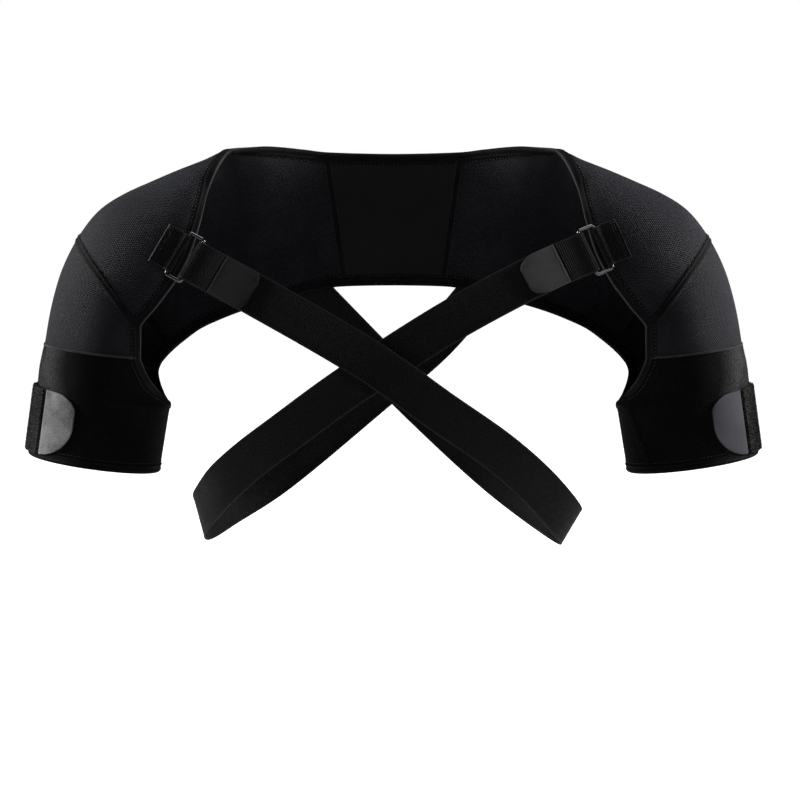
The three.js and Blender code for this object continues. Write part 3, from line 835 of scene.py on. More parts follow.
def stitch_tree():
    """Stitches along lines, each a small pillow turned to the line and to the cloth below."""
    tree, given, made = node_group(
        "row of stitches", "GeometryNodeTree",
        [("Geometry", "Geometry"), ("Pitch", "Float"), ("Length", "Float"), ("Width", "Float"),
         ("Height", "Float"), ("Slant", "Float"), ("Thread", "Material")],
        [("Geometry", "Geometry")])
    g = given.outputs
    step = steps_of(tree)
    line = step("GeometryNodeMeshToCurve", Mesh=g["Geometry"])
    spaced = step("GeometryNodeResampleCurve", [("mode", "LENGTH")], Curve=line, Length=g["Pitch"])
    up = step("GeometryNodeInputNamedAttribute", [("data_type", "FLOAT_VECTOR")], Name="up")
    to_line = step("FunctionNodeAlignRotationToVector", [("axis", "X")],
                   Vector=step("GeometryNodeInputTangent"))
    to_cloth = step("FunctionNodeAlignRotationToVector", [("axis", "Z"), ("pivot_axis", "X")],
                    Rotation=to_line, Vector=up)
    odd = sum_node(tree, "MODULO", step("GeometryNodeInputIndex"), 2.0)
    swing = sum_node(tree, "MULTIPLY", sum_node(tree, "MULTIPLY_ADD", odd, 2.0, -1.0), g["Slant"])
    slant = step("FunctionNodeAxisAngleToRotation", Axis=(0, 0, 1), Angle=swing)
    turned = step("FunctionNodeRotateRotation", [("rotation_space", "LOCAL")],
                  Rotation=to_cloth, Rotate_By=slant)
    pillow = step("GeometryNodeMeshUVSphere", Segments=6, Rings=3, Radius=0.5)
    size = step("ShaderNodeCombineXYZ", X=g["Length"], Y=g["Width"], Z=g["Height"])
    one = step("GeometryNodeTransform", Geometry=pillow, Scale=size)
    many = step("GeometryNodeInstanceOnPoints", Points=spaced, Instance=one, Rotation=turned)
    real = step("GeometryNodeRealizeInstances", Geometry=many)
    smooth = step("GeometryNodeSetShadeSmooth", Geometry=real)
    put(made.inputs["Geometry"],
        step("GeometryNodeSetMaterial", Geometry=smooth, Material=g["Thread"]))
    return tree


def pile_tree():
    """Short fibres standing on a cloth, leaning at random."""
    tree, given, made = node_group(
        "short pile", "GeometryNodeTree",
        [("Geometry", "Geometry"), ("Density", "Float"), ("Length", "Float"),
         ("Thickness", "Float"), ("Lean", "Float"), ("Seed", "Int"), ("Fibre", "Material")],
        [("Geometry", "Geometry")])
    g = given.outputs
    step = steps_of(tree)
    roots = step("GeometryNodeDistributePointsOnFaces", Mesh=g["Geometry"], Density=g["Density"],
                 Seed=g["Seed"])
    fibre = step("GeometryNodeMeshCone", [("fill_type", "NONE")], Vertices=3,
                 Radius_Bottom=g["Thickness"], Depth=g["Length"])
    least = sum_node(tree, "MULTIPLY", g["Lean"], -1.0)
    low = step("ShaderNodeCombineXYZ", X=least, Y=least)
    high = step("ShaderNodeCombineXYZ", X=g["Lean"], Y=g["Lean"])
    lean = step("FunctionNodeRandomValue", [("data_type", "FLOAT_VECTOR")], Min=low, Max=high,
                Seed=g["Seed"])
    turned = step("FunctionNodeRotateRotation", [("rotation_space", "LOCAL")],
                  Rotation=roots.node.outputs["Rotation"],
                  Rotate_By=step("FunctionNodeEulerToRotation", Euler=lean))
    many = step("GeometryNodeInstanceOnPoints", Points=roots, Instance=fibre, Rotation=turned)
    real = step("GeometryNodeRealizeInstances", Geometry=many)
    put(made.inputs["Geometry"],
        step("GeometryNodeSetMaterial", Geometry=real, Material=g["Fibre"]))
    return tree


STITCHES = stitch_tree()
PILE = pile_tree()


def stitch(pitch, length, width, height, slant=0.0):
    return {"Pitch": pitch, "Length": length, "Width": width, "Height": height, "Slant": slant}


STITCH_SIZES = {
    "edge": stitch(pitch=0.0034, length=0.0021, width=0.0008, height=0.0007),
    "ladder": stitch(pitch=0.0024, length=0.0007, width=0.0022, height=0.0007),
    "strap": stitch(pitch=0.0026, length=0.0020, width=0.0006, height=0.0005),
    "zigzag": stitch(pitch=0.0013, length=0.0022, width=0.0006, height=0.0005, slant=1.0),
    "cuff strap": stitch(pitch=0.0030, length=0.0022, width=0.0009, height=0.0008),
}
PILE_SIZES = {
    "cuff": {"Density": 1_300_000, "Length": 0.0010, "Thickness": 0.00013, "Lean": 1.1, "Seed": 5},
    "strap": {"Density": 1_600_000, "Length": 0.0017, "Thickness": 0.00018, "Lean": 0.9, "Seed": 3},
}


def stitched(name, rows, finish, size):
    """Stitches along rows, each given as its points and the normals of the cloth at them."""
    points = np.concatenate([p for p, _ in rows])
    normals = np.concatenate([n for _, n in rows])
    edges = []
    first = 0
    for p, _ in rows:
        edges += [(first + i, first + i + 1) for i in range(len(p) - 1)]
        first += len(p)
    mesh = bpy.data.meshes.new(f"{name}_lines")
    mesh.from_pydata(points.tolist(), edges, [])
    up = mesh.attributes.new("up", "FLOAT_VECTOR", "POINT")
    up.data.foreach_set("vector", normals.astype(np.float32).ravel())
    values = {**STITCH_SIZES[size], "Thread": FINISHES[finish][0]}
    return grown(name, mesh, STITCHES, values, finish)


def piled(name, mesh, size):
    values = {**PILE_SIZES[size], "Fibre": FINISHES["fuzz"][0]}
    return grown(name, mesh, PILE, values, "fuzz")


# Panels of the shell.
def flat_size(points):
    """Width, length and area of a grid of cloth, laid flat."""
    lengths = path_length(points)[-1]
    widths = path_length(points.swapaxes(0, 1))[-1]
    a = np.diff(points, axis=0)[:, :-1]
    b = np.diff(points, axis=1)[:-1]
    area = np.linalg.norm(np.cross(a, b), axis=-1).sum()
    width, length = widths.max(), lengths.max()
    return (width, length), min(area, width * length)


def speed_along(place, across=0.5):
    along, _round = shell_steps(np.array([float(place)]), np.array([float(across)]))
    return float(np.linalg.norm(along))


SEAMS = [CUFF_SEAM, DIAGONAL_SEAM, BACK_SEAM]
SEAMS = SEAMS + [FAR_HEM - place for place in SEAMS]


def panel(node, start, end, finish):
    """One panel of the shell, with half a seam gap left at each seam. Gives back its points."""
    low = start + (0.5 * GAP / speed_along(start) if start in SEAMS else 0)
    high = end - (0.5 * GAP / speed_along(end) if end in SEAMS else 0)
    coarse, _normal = shell(np.linspace(low, high, 60)[:, None], np.linspace(0, 1, 60)[None, :])
    (width, length), _area = flat_size(coarse)
    rows = int(length / WEAVE_STEP)
    columns = 2 * int(width / WEAVE_STEP / 2)
    places = np.linspace(low, high, rows + 1)
    knees = [k for k in (ARMPIT, FAR_HEM - ARMPIT) if low < k < high]
    places = np.sort(np.concatenate([places, knees]))
    points, _normal = shell(places[:, None], np.linspace(0, 1, columns + 1)[None, :])
    piece = dress(cloth(f"fine_{node}", points, NEOPRENE), finish, node)
    flat, area = flat_size(points)
    return points


# Points along an edge, a hem, a seam and the underarm seam, and how many of them a direction
# along an edge is taken over, each way.
EDGE_POINTS = 721
HEM_POINTS = 181
SEAM_POINTS = 150
UNDERARM_POINTS = 60
EDGE_SPREAD = 3


def edge_frame(places, across, sign):
    """Points of an edge of the shell, with normals and directions out of the cloth."""
    point, normal = shell(places, across)
    after = np.roll(point, -EDGE_SPREAD, axis=0)
    before = np.roll(point, EDGE_SPREAD, axis=0)
    outward = unit(np.cross(after - before, normal)) * sign
    return point, normal, outward


def edge_offset(places, across, sign, inward, height):
    """A line beside an edge: further into the cloth by inward, and over it by height."""
    point, normal, outward = edge_frame(places, across, sign)
    if inward <= 0:
        return point - outward * inward + normal * height, normal
    near_place, near_across = beside(places, across, -outward * inward)
    return shell(near_place, near_across, height)


# Tape folded over an edge: distances into the cloth, and heights over its outer face, in metres.
TAPE_PROFILE = [
    (0.0042, 0.0001), (0.0042, 0.0007), (0.0036, 0.0010), (0.0030, 0.0007), (0.0010, 0.0003),
    (0.0002, 0.0007), (-0.0010, 0.0009), (-0.0024, 0.0003), (-0.0031, -0.0008), (-0.0031, -0.0022),
    (-0.0024, -0.0033), (-0.0010, -0.0039), (0.0002, -0.0037), (0.0010, -0.0033), (0.0030, -0.0037),
    (0.0036, -0.0040), (0.0042, -0.0037), (0.0042, -0.0031),
    (0.0008, -0.00305), (-0.0006, -0.0024), (-0.0006, -0.0006), (0.0008, 0.00005),
]

# Distance of a row of stitches from the edge that it holds, and half width and height of the dark
# strip laid along it as painted shade of the channel that it presses into the cloth.
STITCH_LINE = 0.0062
CHANNEL_HALF = 0.0009
CHANNEL_RISE = 0.00012

# Profiles of a channel, by shares across and of the height, and of the crowned band over a seam.
CHANNEL_PROFILE = [(-1, -0.5), (-1, 0.3), (-0.5, 1), (0.5, 1), (1, 0.3), (1, -0.5)]
SEAM_PROFILE = [(-1, 0.05), (-0.92, 0.55), (-0.55, 1), (-0.2, 0.8), (0, 0.25), (0.2, 0.8),
                (0.55, 1), (0.92, 0.55), (1, 0.05), (1, -0.6), (-1, -0.6)]

# Flat seams: shares across between which they run, then place, half width, height and finish.
SEAM_ACROSS = (0.008, 0.992)
FLAT_SEAMS = {
    "diagonal_seam": (DIAGONAL_SEAM, 0.0036, 0.0010, "tape"),
    "back_seam": (BACK_SEAM, 0.0024, 0.0004, "tape"),
    "cuff_seam": (CUFF_SEAM, 0.0010, 0.0009, "piping"),
}

# Underarm seam: shares across at the hem and at the armpit, places, half width and height.
UNDERARM_ACROSS = (0.125, 0.085)
UNDERARM_PLACES = (0.09, 0.96)
UNDERARM_HALF = 0.0032
UNDERARM_RISE = 0.0012


def binding(node, places, across, sign, finish):
    """Tape folded over a closed edge of the shell."""
    rings = np.stack([edge_offset(places, across, sign, inward, height)[0]
                      for inward, height in TAPE_PROFILE], axis=1)
    middle = rings.mean(axis=1)
    along = path_length(middle)
    lap = along[-1] + np.linalg.norm(middle[0] - middle[-1])
    uv = strip_uv(path_length(TAPE_PROFILE), along)
    return dress(loft(f"fine_{node}", rings, uv, closed=True, lap=lap), finish, node)


def closed_edge():
    """Places and shares across of the one edge round the neck, front and armholes."""
    upper = np.linspace(ARMPIT, FAR_HEM - ARMPIT, EDGE_POINTS)
    lower = upper[::-1][1:-1]
    return np.concatenate([upper, lower]), np.concatenate([upper * 0, lower * 0 + 1])


def seam_line(place, across, offset, height):
    """A line beside a seam, at a distance over the shell and a height over its outer face."""
    places, shares = np.broadcast_arrays(np.asarray(place, float), np.asarray(across, float))
    points, normals = shell(places, shares)
    aside = unit(np.cross(normals, np.gradient(points, axis=0)))
    near_place, near_across = beside(places, shares, aside * offset)
    return shell(near_place, near_across, height)


def seam_band(name, place, across, half_width, rise, face, finish):
    """A crowned band over a seam. face is 1 on the outer face of the cloth and -1 on the inner."""
    base = 0 if face > 0 else -NEOPRENE
    rings = np.stack([seam_line(place, across, s * half_width, base + face * rise * h)[0]
                      for s, h in SEAM_PROFILE], axis=1)
    sides = np.array([s * half_width for s, _ in SEAM_PROFILE])
    return dress(loft(name, rings, strip_uv(sides, path_length(rings.mean(axis=1)))), finish)


def face_rows(line):
    """A line as rows of thread on the outer and on the inner face of the cloth."""
    outer, normal = line(THREAD_LIFT)
    inner, inner_normal = line(-NEOPRENE - THREAD_LIFT)
    return [(outer, normal), (inner, -inner_normal)]


# Straps and rings.
def width_across(lean, side, square):
    lean = np.radians(lean)
    upright = np.stack([-side * np.sin(lean), 0 * lean, np.cos(lean)], axis=-1)
    return unit(upright - square * dot(upright, square)[..., None])


def route_point(row, side):
    x, y, z, _lean = row
    return np.array([side * STRAP_REACH * x, STRAP_FORWARD * y, STRAP_DROP * z]) - ORIGIN


def seat_guess(side, seat):
    """Where on one side of the shell the search for a seat starts."""
    place, across = seat
    return (place if side < 0 else FAR_HEM - place), across


def ring_frame(info):
    """Middles of a ring's bars, and the ways of the strap's pull, of its width and of its face."""
    side = info["side"]
    x = side * info["ring_x"] * REACH - ORIGIN[0]
    z = info["ring_z"] * DROP - ORIGIN[2]
    place, across = shell_below(np.array([x]), np.array([z]), seat_guess(side, RING_SEAT))
    seat, normal = shell(place, across)
    outer_bar = seat[0] + normal[0] * BAR_HEIGHT
    width = width_across(np.array(float(info["route"][0][3])), side, normal[0])
    towards = route_point(info["route"][1], side) - outer_bar
    pull = unit(towards - width * dot(towards, width))
    face = -side * np.cross(pull, width)
    return {"outer": outer_bar, "inner": outer_bar + pull * RING_PITCH,
            "pull": pull, "width": width, "face": face}


# Points round one corner of a ring, and round its wire.
CORNER_POINTS = 9
WIRE_SIDES = 16


def ring(info):
    """Rectangular ring of round wire."""
    f = ring_frame(info)
    centre = (f["outer"] + f["inner"]) / 2
    half_long = STRAP_WIDTH / 2 + RING_SLACK + RING_WIRE / 2
    angles = np.radians(np.concatenate([start + np.linspace(0, 90, CORNER_POINTS)
                                        for start in (0, 90, 180, 270)]))
    cos, sin = np.cos(angles), np.sin(angles)
    pull_sign = np.repeat([1, -1, -1, 1], CORNER_POINTS)
    width_sign = np.repeat([1, 1, -1, -1], CORNER_POINTS)
    along_pull = pull_sign * (RING_PITCH / 2 - RING_CORNER) + RING_CORNER * cos
    along_width = width_sign * (half_long - RING_CORNER) + RING_CORNER * sin
    line = centre + along_pull[:, None] * f["pull"] + along_width[:, None] * f["width"]
    out = cos[:, None] * f["pull"] + sin[:, None] * f["width"]
    round_it = np.linspace(0, 2 * np.pi, WIRE_SIDES + 1)[:-1]
    rings = (line[:, None] + RING_WIRE / 2 * (np.cos(round_it)[:, None] * out[:, None]
                                              + np.sin(round_it)[:, None] * f["face"]))
    node = f"ring_{info['name']}"
    loop = loft(f"fine_{node}", rings, strip_uv(round_it, path_length(line)), closed=True)
    return dress(loop, "ring", node)


def eye(radius, centre_height, towards, count=16):
    """Half a turn round a bar, from below it to above. towards is the sign of its side."""
    angle = np.linspace(-np.pi / 2, np.pi / 2, count + 1)
    along = towards * radius * np.cos(angle)
    return np.stack([along, centre_height + radius * np.sin(angle)], axis=-1)


# Webbing in section: share across, share of the thickness. The edges are woven round and full.
WEBBING_SECTION = [(-1, 0.35), (-0.985, 0.8), (-0.95, 1.1), (-0.91, 0.8), (-0.45, 0.92), (0, 0.95),
                   (0.45, 0.92), (0.91, 0.8), (0.95, 1.1), (0.985, 0.8), (1, 0.35)]
PLAIN_SECTION = [(-1, 0.5), (-0.97, 0.95), (-0.5, 1), (0, 1), (0.5, 1), (0.97, 0.95), (1, 0.5)]


def webbing_place(info):
    """Where a point of the ring's webbing lies, by its distance along, height and share across."""
    f = ring_frame(info)

    def place(along, height, across):
        flat = f["outer"] + along[..., None] * f["pull"]
        flat = flat + (across * STRAP_WIDTH / 2)[..., None] * f["width"]
        seat = shell_below(flat[..., 0], flat[..., 2], seat_guess(info["side"], RING_SEAT))
        draped, _normal = shell(*seat, height)
        level = flat + (height - BAR_HEIGHT)[..., None] * f["face"]
        low = smoothstep(along, -WEBBING_TURN, 0)
        high = smoothstep(along, -WEBBING_SLOPE, -WEBBING_TURN)
        hold = np.where(height > BAR_HEIGHT, high, low)[..., None]
        return draped + (level - draped) * hold

    return place


def ring_webbing(info):
    """Webbing sewn on the cap: two layers, folded round the outer bar of the ring."""
    route = np.concatenate([
        [(-WEBBING_LENGTH, WEBBING_LOWER), (-WEBBING_TURN, WEBBING_LOWER)],
        eye(WEBBING_TURN, BAR_HEIGHT, 1),
        [(-WEBBING_TURN, BAR_HEIGHT + WEBBING_TURN * 0.6), (-WEBBING_SLOPE, WEBBING_UPPER),
         (-WEBBING_LENGTH, WEBBING_UPPER)],
    ])
    node = f"ring_webbing_{info['name']}"
    piece = band(f"fine_{node}", finer(route, 0.0012), WEBBING_THICK, WEBBING_SECTION,
                 webbing_place(info), STRAP_WIDTH)
    return dress(piece, "webbing", node)


# Height of a chest strap's middle over the back where it is sewn on, clear of the bound edge.
SEWN_HEIGHT = 2 * GAP + STRAP_THICK + GAP / 2 + (BINDING_THICK - NEOPRENE) / 2


def strap_line(info):
    """Base line of a chest strap from the ring's inner bar: points, directions and leans."""
    f = ring_frame(info)
    side = info["side"]
    rows = info["route"]
    sewn = len(rows) - 2
    points = [f["inner"], f["inner"] + f["pull"] * FOLD_LENGTH]
    for i, row in enumerate(rows[1:], start=1):
        point = route_point(row, side)
        if i >= sewn:
            place, across = shell_below(point[:1], point[2:], seat_guess(side, SEWN_SEAT))
            point = shell(place, across, SEWN_HEIGHT)[0][0]
        points.append(point)
    points = np.array(points)
    leans = np.array([rows[0][3]] + [row[3] for row in rows], dtype=float)
    ends = np.concatenate([[2 * points[0] - points[1]], points, [2 * points[-1] - points[-2]]])
    share = np.linspace(0, 1, 81)[:-1, None]
    line, lean = [], []
    for i in range(len(points) - 1):
        a, b, c, d = ends[i:i + 4]
        before, here, after = (np.sqrt(np.linalg.norm(q - p)) for p, q in ((a, b), (b, c), (c, d)))
        out = ((b - a) / before - (c - a) / (before + here) + (c - b) / here) * here
        into = ((c - b) / here - (d - b) / (here + after) + (d - c) / after) * here
        line.append(b + out * share + (3 * (c - b) - 2 * out - into) * share ** 2
                    + (2 * (b - c) + out + into) * share ** 3)
        lean.append(leans[i] + (leans[i + 1] - leans[i]) * share[:, 0])
    line = np.concatenate(line + [points[-1:]])
    lean = np.concatenate(lean + [leans[-1:]])
    return f, line, unit(np.gradient(line, axis=0)), lean, path_length(line)


def strap_place(info):
    """Length of a chest strap, and where a point of it lies."""
    f, line, runs, leans, lengths = strap_line(info)
    side = info["side"]

    def place(along, height, across):
        t = np.clip(along, 0, lengths[-1])
        point = np.stack([np.interp(t, lengths, line[:, k]) for k in range(3)], axis=-1)
        run = unit(np.stack([np.interp(t, lengths, runs[:, k]) for k in range(3)], axis=-1))
        twist = smoothstep(along, 0, 3 * (FOLD_LENGTH + TAB_LENGTH))[..., None]
        free = width_across(np.interp(t, lengths, leans), side, run)
        held = f["width"] - run * dot(run, f["width"])[..., None]
        width = unit(held + (free - held) * twist)
        face = -side * np.cross(run, width)
        point = point + run * (along - t)[..., None]
        return point + face * height[..., None] + width * (across * STRAP_WIDTH / 2)[..., None]

    return lengths[-1], place


def chest_strap(info):
    """Folded end, half turn round the ring, then the long run to the sewn end."""
    length, place = strap_place(info)
    settle = 4 * STRAP_TURN
    near = np.linspace(0, settle, 9)[1:]
    lift = STRAP_TURN + (STRAP_LAYER - STRAP_TURN) * smoothstep(near, 0, settle)
    route = np.concatenate([
        [(FOLD_LENGTH, STRAP_LAYER)],
        np.stack([near, lift], axis=-1)[::-1],
        eye(STRAP_TURN, 0, -1)[::-1],
        np.stack([near, -lift], axis=-1),
        [(length, -STRAP_LAYER)],
    ])
    node = f"chest_strap_{info['name']}"
    piece = band(f"fine_{node}", finer(route, 0.003), STRAP_THICK, WEBBING_SECTION, place,
                 STRAP_WIDTH)
    dress(piece, "webbing", node)
    return piece


def strap_tab(info):
    """Hook tab on the folded end, with rounded corners."""
    _length, place = strap_place(info)
    end = FOLD_LENGTH + TAB_LENGTH
    rounding = info["round_tab"] * TAB_LENGTH
    height = TAB_GAP - GAP / 2 + TAB_THICK / 2

    def rounded(along, up, across):
        past = np.clip((along - (end - rounding)) / rounding, 0, 1)
        half = 1 - 0.45 * (1 - np.sqrt(1 - 0.98 * past * past)) - 0.08 * past
        return place(along, up, across * half)

    route = finer([(FOLD_LENGTH + GAP, height), (end - rounding, height), (end, height)], 0.001)
    node = f"strap_tab_{info['name']}"
    piece = band(f"fine_{node}", route, TAB_THICK, PLAIN_SECTION, rounded, STRAP_WIDTH)
    return dress(piece, info["hook"], node)


def strap_row(place, along, across, height):
    """A line of thread over a strap or webbing, with the way that its face looks."""
    along, across = np.broadcast_arrays(np.asarray(along, float), np.asarray(across, float))
    height = np.full(along.shape, height)
    low = place(along, height, across)
    high = place(along, height + 0.001, across)
    return low, unit(high - low)


# Rows of thread on a chest strap: distances from the ring and, for the sewn rows, from the far end,
# and the share of the width that the rows cover.
FOLD_ROWS = (0.0085, FOLD_LENGTH - 0.0020)
TAB_ROW = FOLD_LENGTH + 0.0022
SEWN_ROWS = (0.003, 0.022)
ROW_SHARE = 0.88

# The same on the webbing of a ring. Its cut end: thickness, and how far it stands out behind the
# webbing and over it.
ZIGZAG_ROWS = (0.0165, 0.0145)
ZIGZAG_SHARE = 0.9
CUT_END_THICK = 0.0011
CUT_END_PAST = 0.0005
CUT_END_OVER = 0.0003


def strap_thread(info):
    """Stitch lines over the fold, beside the ring and at the sewn end of one chest strap."""
    length, place = strap_place(info)
    side_to_side = np.linspace(-ROW_SHARE, ROW_SHARE, 30)
    top = STRAP_LAYER + STRAP_THICK / 2
    rows = [strap_row(place, x, side_to_side, top) for x in FOLD_ROWS]
    rows.append(strap_row(place, TAB_ROW, side_to_side, TAB_GAP - GAP / 2 + TAB_THICK))
    near, far = SEWN_ROWS
    for x in (length - near, length - far):
        low, up = strap_row(place, x, side_to_side, -top)
        rows.append((low, -up))
        rows.append(strap_row(place, x, side_to_side, -GAP / 2))
    for edge in (-ROW_SHARE, ROW_SHARE):
        low, up = strap_row(place, np.linspace(length - far, length - near, 12), edge, -top)
        rows.append((low, -up))
    return stitched(f"strap_thread_{info['name']}", rows, "thread", "strap")


def webbing_thread(info):
    """Zigzag over the end of the ring's webbing, and its cut end."""
    place = webbing_place(info)
    side_to_side = np.linspace(-ZIGZAG_SHARE, ZIGZAG_SHARE, 40)
    rows = [strap_row(place, -x, side_to_side, WEBBING_TOP) for x in ZIGZAG_ROWS]
    stitched(f"webbing_thread_{info['name']}", rows, "thread", "zigzag")
    at = -WEBBING_LENGTH - CUT_END_PAST
    line = finer([(at, GAP), (at, WEBBING_TOP + CUT_END_OVER)], 0.0005)
    end = band(f"webbing_end_{info['name']}", line, CUT_END_THICK, PLAIN_SECTION, place,
               STRAP_WIDTH)
    return dress(end, info["cut_end"])


# Closures of the cuffs: rows and columns of their grids, the columns that are sewn, how far their
# thread stands out, and the rounding of their cut edges.
CUFF_STRAP_GRID = (24, 90)
CUFF_TAB_GRID = (24, 16)
CUFF_SEWN_COLUMNS = (3, 6)
CUFF_THREAD_LIFT = 0.0004
CUFF_STRAP_SOFT = 0.0009
CUFF_TAB_SOFT = 0.0006


def round_cuff(side, span, height, rounding, grid):
    """A grid of points round the outside of a cuff, between two shares of the way round.
    The far end is rounded off, by a share of the height at its top and at its bottom."""
    tube = speed_along(ARMPIT / 2) * ARMPIT
    rows, columns = grid
    share = np.sin(np.linspace(0, np.pi / 2, columns + 1))[None, :]
    up = np.linspace(0, 1, rows + 1)[:, None]
    top, bottom = rounding
    low = bottom * (1 - np.sqrt(1 - share ** 2))
    high = 1 - top * (1 - np.sqrt(1 - share ** 2))
    place = (CUFF_STRAP_ABOVE_HEM + CUFF_STRAP_HEIGHT * (low + (high - low) * up)) / tube
    place = place if side < 0 else FAR_HEM - place
    points, _normal = shell(place, span[0] + (span[1] - span[0]) * share, height)
    return points


def outward_grid(points, centre):
    """The same grid with its faces looking away from a centre."""
    a = points[1, 0] - points[0, 0]
    b = points[0, 1] - points[0, 0]
    return points if np.dot(np.cross(a, b), points[0, 0] - centre) > 0 else points[:, ::-1]


def soften(piece, width):
    """Rounds the cut edges of a thick cloth."""
    bevel = piece.modifiers.new("soft edges", "BEVEL")
    bevel.width = width
    bevel.segments = 3
    bevel.limit_method = "ANGLE"
    bevel.angle_limit = math.radians(50)


def cuff_closure(info):
    """Strap of a cuff, with its thread and pile, and the tab that closes it."""
    name, side = info["name"], info["side"]
    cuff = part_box(f"arm_cuff_{name}")
    centre = (np.array(cuff[0]) + np.array(cuff[1])) / 2
    points = round_cuff(side, CUFF_STRAP_SPAN, GAP + CUFF_STRAP_THICK, SQUARE_END, CUFF_STRAP_GRID)
    sewn = [points[1:-1, column] + unit(points[1:-1, column] - centre) * CUFF_THREAD_LIFT
            for column in CUFF_SEWN_COLUMNS]
    rows = [(line, unit(line - centre)) for line in sewn]
    stitched(f"cuff_strap_thread_{name}", rows, "thread", "cuff strap")
    points = outward_grid(points, centre)
    strap = cloth(f"fine_cuff_strap_{name}", points, CUFF_STRAP_THICK)
    soften(strap, CUFF_STRAP_SOFT)
    dress(strap, "fuzz", f"cuff_strap_{name}")
    flat, area = flat_size(points)
    piled(f"cuff_strap_pile_{name}", applied(strap), "strap")
    points = round_cuff(side, CUFF_TAB_SPAN, GAP + CUFF_TAB_THICK, ROUND_END, CUFF_TAB_GRID)
    tab = cloth(f"fine_cuff_tab_{name}", outward_grid(points, centre), CUFF_TAB_THICK)
    soften(tab, CUFF_TAB_SOFT)
    dress(tab, info["cuff_tab"], f"cuff_tab_{name}")


# Panels of one half of the shell: where each starts and ends, and its finish.
HALF_PANELS = {
    "shoulder_panel": (DIAGONAL_SEAM, BACK_SEAM, "mesh"),
    "sleeve_panel": (CUFF_SEAM, DIAGONAL_SEAM, "mesh"),
    "arm_cuff": (0, CUFF_SEAM, "cuff"),
}


def make_shell():
    """All panels, and grey pile where a cuff's strap can land."""
    panel("back_panel", BACK_SEAM, FAR_HEM - BACK_SEAM, "smooth")
    for name, mirror in MIRRORED:
        for piece, (start, end, finish) in HALF_PANELS.items():
            if mirror:
                start, end = FAR_HEM - end, FAR_HEM - start
            points = panel(f"{piece}_{name}", start, end, finish)
            if piece == "arm_cuff":
                middle = points.shape[1] // 2
                reach = int(LANDING_FROM / WEAVE_STEP)
                skin = cloth_skin(points[:, middle - reach:middle + reach + 1])
                piled(f"cuff_pile_{name}", skin, "cuff")


def cloth_skin(points):
    """The outer face of a cloth alone, as a mesh to grow pile on."""
    mesh = bpy.data.meshes.new("skin")
    faces = grid_faces(*points.shape[:2])
    mesh.from_pydata(points.reshape(-1, 3).tolist(), [], faces.tolist())
    return mesh


def make_edges():
    """The bound edge and both hems, each with its rows of stitches."""
    places, across = closed_edge()
    binding("edge_binding", places, across, 1, "tape")
    edge_rows = face_rows(lambda h: closed_row(places, across, 1, h))
    hem_rows = []
    hem_across = np.linspace(0, 1, HEM_POINTS)[:-1]
    for name, place, sign in (("right", 0.0, -1), ("left", float(FAR_HEM), 1)):
        hem = np.full(hem_across.shape, place)
        binding(f"hem_binding_{name}", hem, hem_across, sign, "hem")
        hem_rows += face_rows(lambda h: closed_row(hem, hem_across, sign, h))
    for line, (point, normal) in enumerate(edge_rows + hem_rows):
        # A dark strip under each row of stitches, as painted shade of its channel.
        channel_shade(f"edge_channel_{line}", point[:-1], normal[:-1])
    stitched("edge_thread", edge_rows, "pale_thread", "edge")
    stitched("hem_thread", hem_rows, "thread", "edge")


def channel_shade(name, point, normal):
    """A dark strip under a row of stitches, closed on itself: painted shade of the channel that it
    presses into the cloth.
    """
    run = unit(np.roll(point, -1, axis=0) - np.roll(point, 1, axis=0))
    out = unit(np.cross(run, normal))
    rings = np.stack([point + out * s * CHANNEL_HALF + normal * h * CHANNEL_RISE
                      for s, h in CHANNEL_PROFILE], axis=1)
    sides = np.array([s * CHANNEL_HALF for s, _ in CHANNEL_PROFILE])
    return dress(loft(name, rings, strip_uv(sides, path_length(point)), closed=True), "pile")


def closed_row(places, across, sign, height):
    point, normal = edge_offset(places, across, sign, STITCH_LINE, height)
    return np.concatenate([point, point[:1]]), np.concatenate([normal, normal[:1]])


def make_seams():
    """Flat seams on both faces, with thread ladders over their edges, and the slanted seam that
    closes the wearer's left cuff under the arm."""
    across = np.linspace(*SEAM_ACROSS, SEAM_POINTS)
    ladders = []
    for name, mirror in MIRRORED:
        for label, (place, half, rise, finish) in FLAT_SEAMS.items():
            at = FAR_HEM - place if mirror else place
            for face_name, face in FACES:
                seam_band(f"{label}_{face_name}_{name}", at, across, half, rise, face, finish)
            if label != "cuff_seam":
                for offset in (-half, half):
                    ladders += face_rows(lambda h: seam_line(at, across, offset, h))
    down = FAR_HEM - np.linspace(*UNDERARM_PLACES, UNDERARM_POINTS)
    slanted = np.linspace(*UNDERARM_ACROSS, UNDERARM_POINTS)
    for face_name, face in FACES:
        seam_band(f"underarm_seam_{face_name}", down, slanted, UNDERARM_HALF, UNDERARM_RISE, face,
                  "hem")
    stitched("seam_thread", ladders, "pale_thread", "ladder")


def make_straps():
    for info in SIDES:
        for make in (ring, ring_webbing, chest_strap, strap_tab, strap_thread, webbing_thread):
            make(info)
    for info in SIDES:
        cuff_closure(info)


# Floor and light.
def seen_only(tree, otherwise, seen):
    """A strength of the stage's white that differs between what is seen straight and its light."""
    path = tree.nodes.new("ShaderNodeLightPath")
    return ramp(tree, path.outputs["Is Camera Ray"], 0.0, 1.0, otherwise, seen)


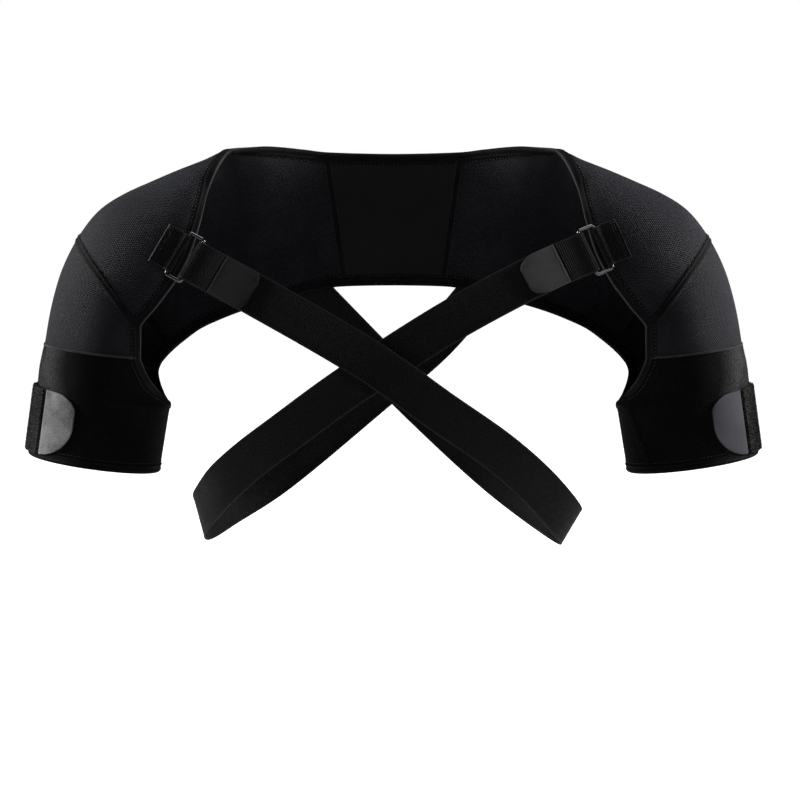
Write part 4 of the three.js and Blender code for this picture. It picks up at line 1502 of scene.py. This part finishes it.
def make_stage():
    """A wide white floor below the brace, which has nothing behind it to hide any view."""
    low = cad_box[0][2] - FLOOR_DROP
    corners = [(-FLOOR_REACH, -FLOOR_REACH, low), (FLOOR_REACH, -FLOOR_REACH, low),
               (FLOOR_REACH, FLOOR_REACH, low), (-FLOOR_REACH, FLOOR_REACH, low)]
    mesh = bpy.data.meshes.new("floor")
    mesh.from_pydata(corners, [], [(0, 1, 2, 3)])
    floor = bpy.data.objects.new("floor", mesh)
    bpy.context.collection.objects.link(floor)
    white = bpy.data.materials.new("floor_white")
    white.use_nodes = True
    tree = white.node_tree
    paper = tree.nodes["Principled BSDF"]
    even = {"Base Color": (0.5, 0.5, 0.5, 1), "Roughness": 0.9, "Emission Color": (1, 1, 1, 1),
            "Emission Strength": seen_only(tree, 0.0, 1.0)}
    for label, value in even.items():
        put(paper.inputs[label], value)
    mesh.materials.append(white)


# Studio lights: where each stands, its size in metres and its strength in watts. All look at one
# place, and the white of the room lights the brace only a little.
LIGHTS = {
    "top_light": ((0.0, 0.3, 1.6), 0.9, 14),
    "right_light": ((-1.7, 0.2, 0.6), 0.7, 86),
    "left_light": ((1.7, 0.2, 0.6), 0.7, 86),
    "front_light": ((1.0, -2.2, 1.0), 0.8, 14),
    "glint_light": ((-0.9, -2.2, 0.2), 0.2, 2),
}
LIGHT_TARGET = (0, -0.08, -0.05)
ROOM_LIGHT = 0.04


def make_light():
    world = bpy.data.worlds.new("studio")
    world.use_nodes = True
    room = world.node_tree.nodes["Background"]
    put(room.inputs["Color"], (1, 1, 1, 1))
    put(room.inputs["Strength"], seen_only(world.node_tree, ROOM_LIGHT, 1.0))
    bpy.context.scene.world = world
    for name, (place, size, power) in LIGHTS.items():
        data = bpy.data.lights.new(name, "AREA")
        data.size = size
        data.energy = power
        light = bpy.data.objects.new(name, data)
        light.location = place
        turn = (Vector(LIGHT_TARGET) - Vector(place)).to_track_quat("-Z", "Y")
        light.rotation_euler = turn.to_euler()
        bpy.context.collection.objects.link(light)
    bpy.context.scene.view_settings.view_transform = "Standard"


make_camera()
make_shell()
make_edges()
make_seams()
make_straps()
make_stage()
make_light()
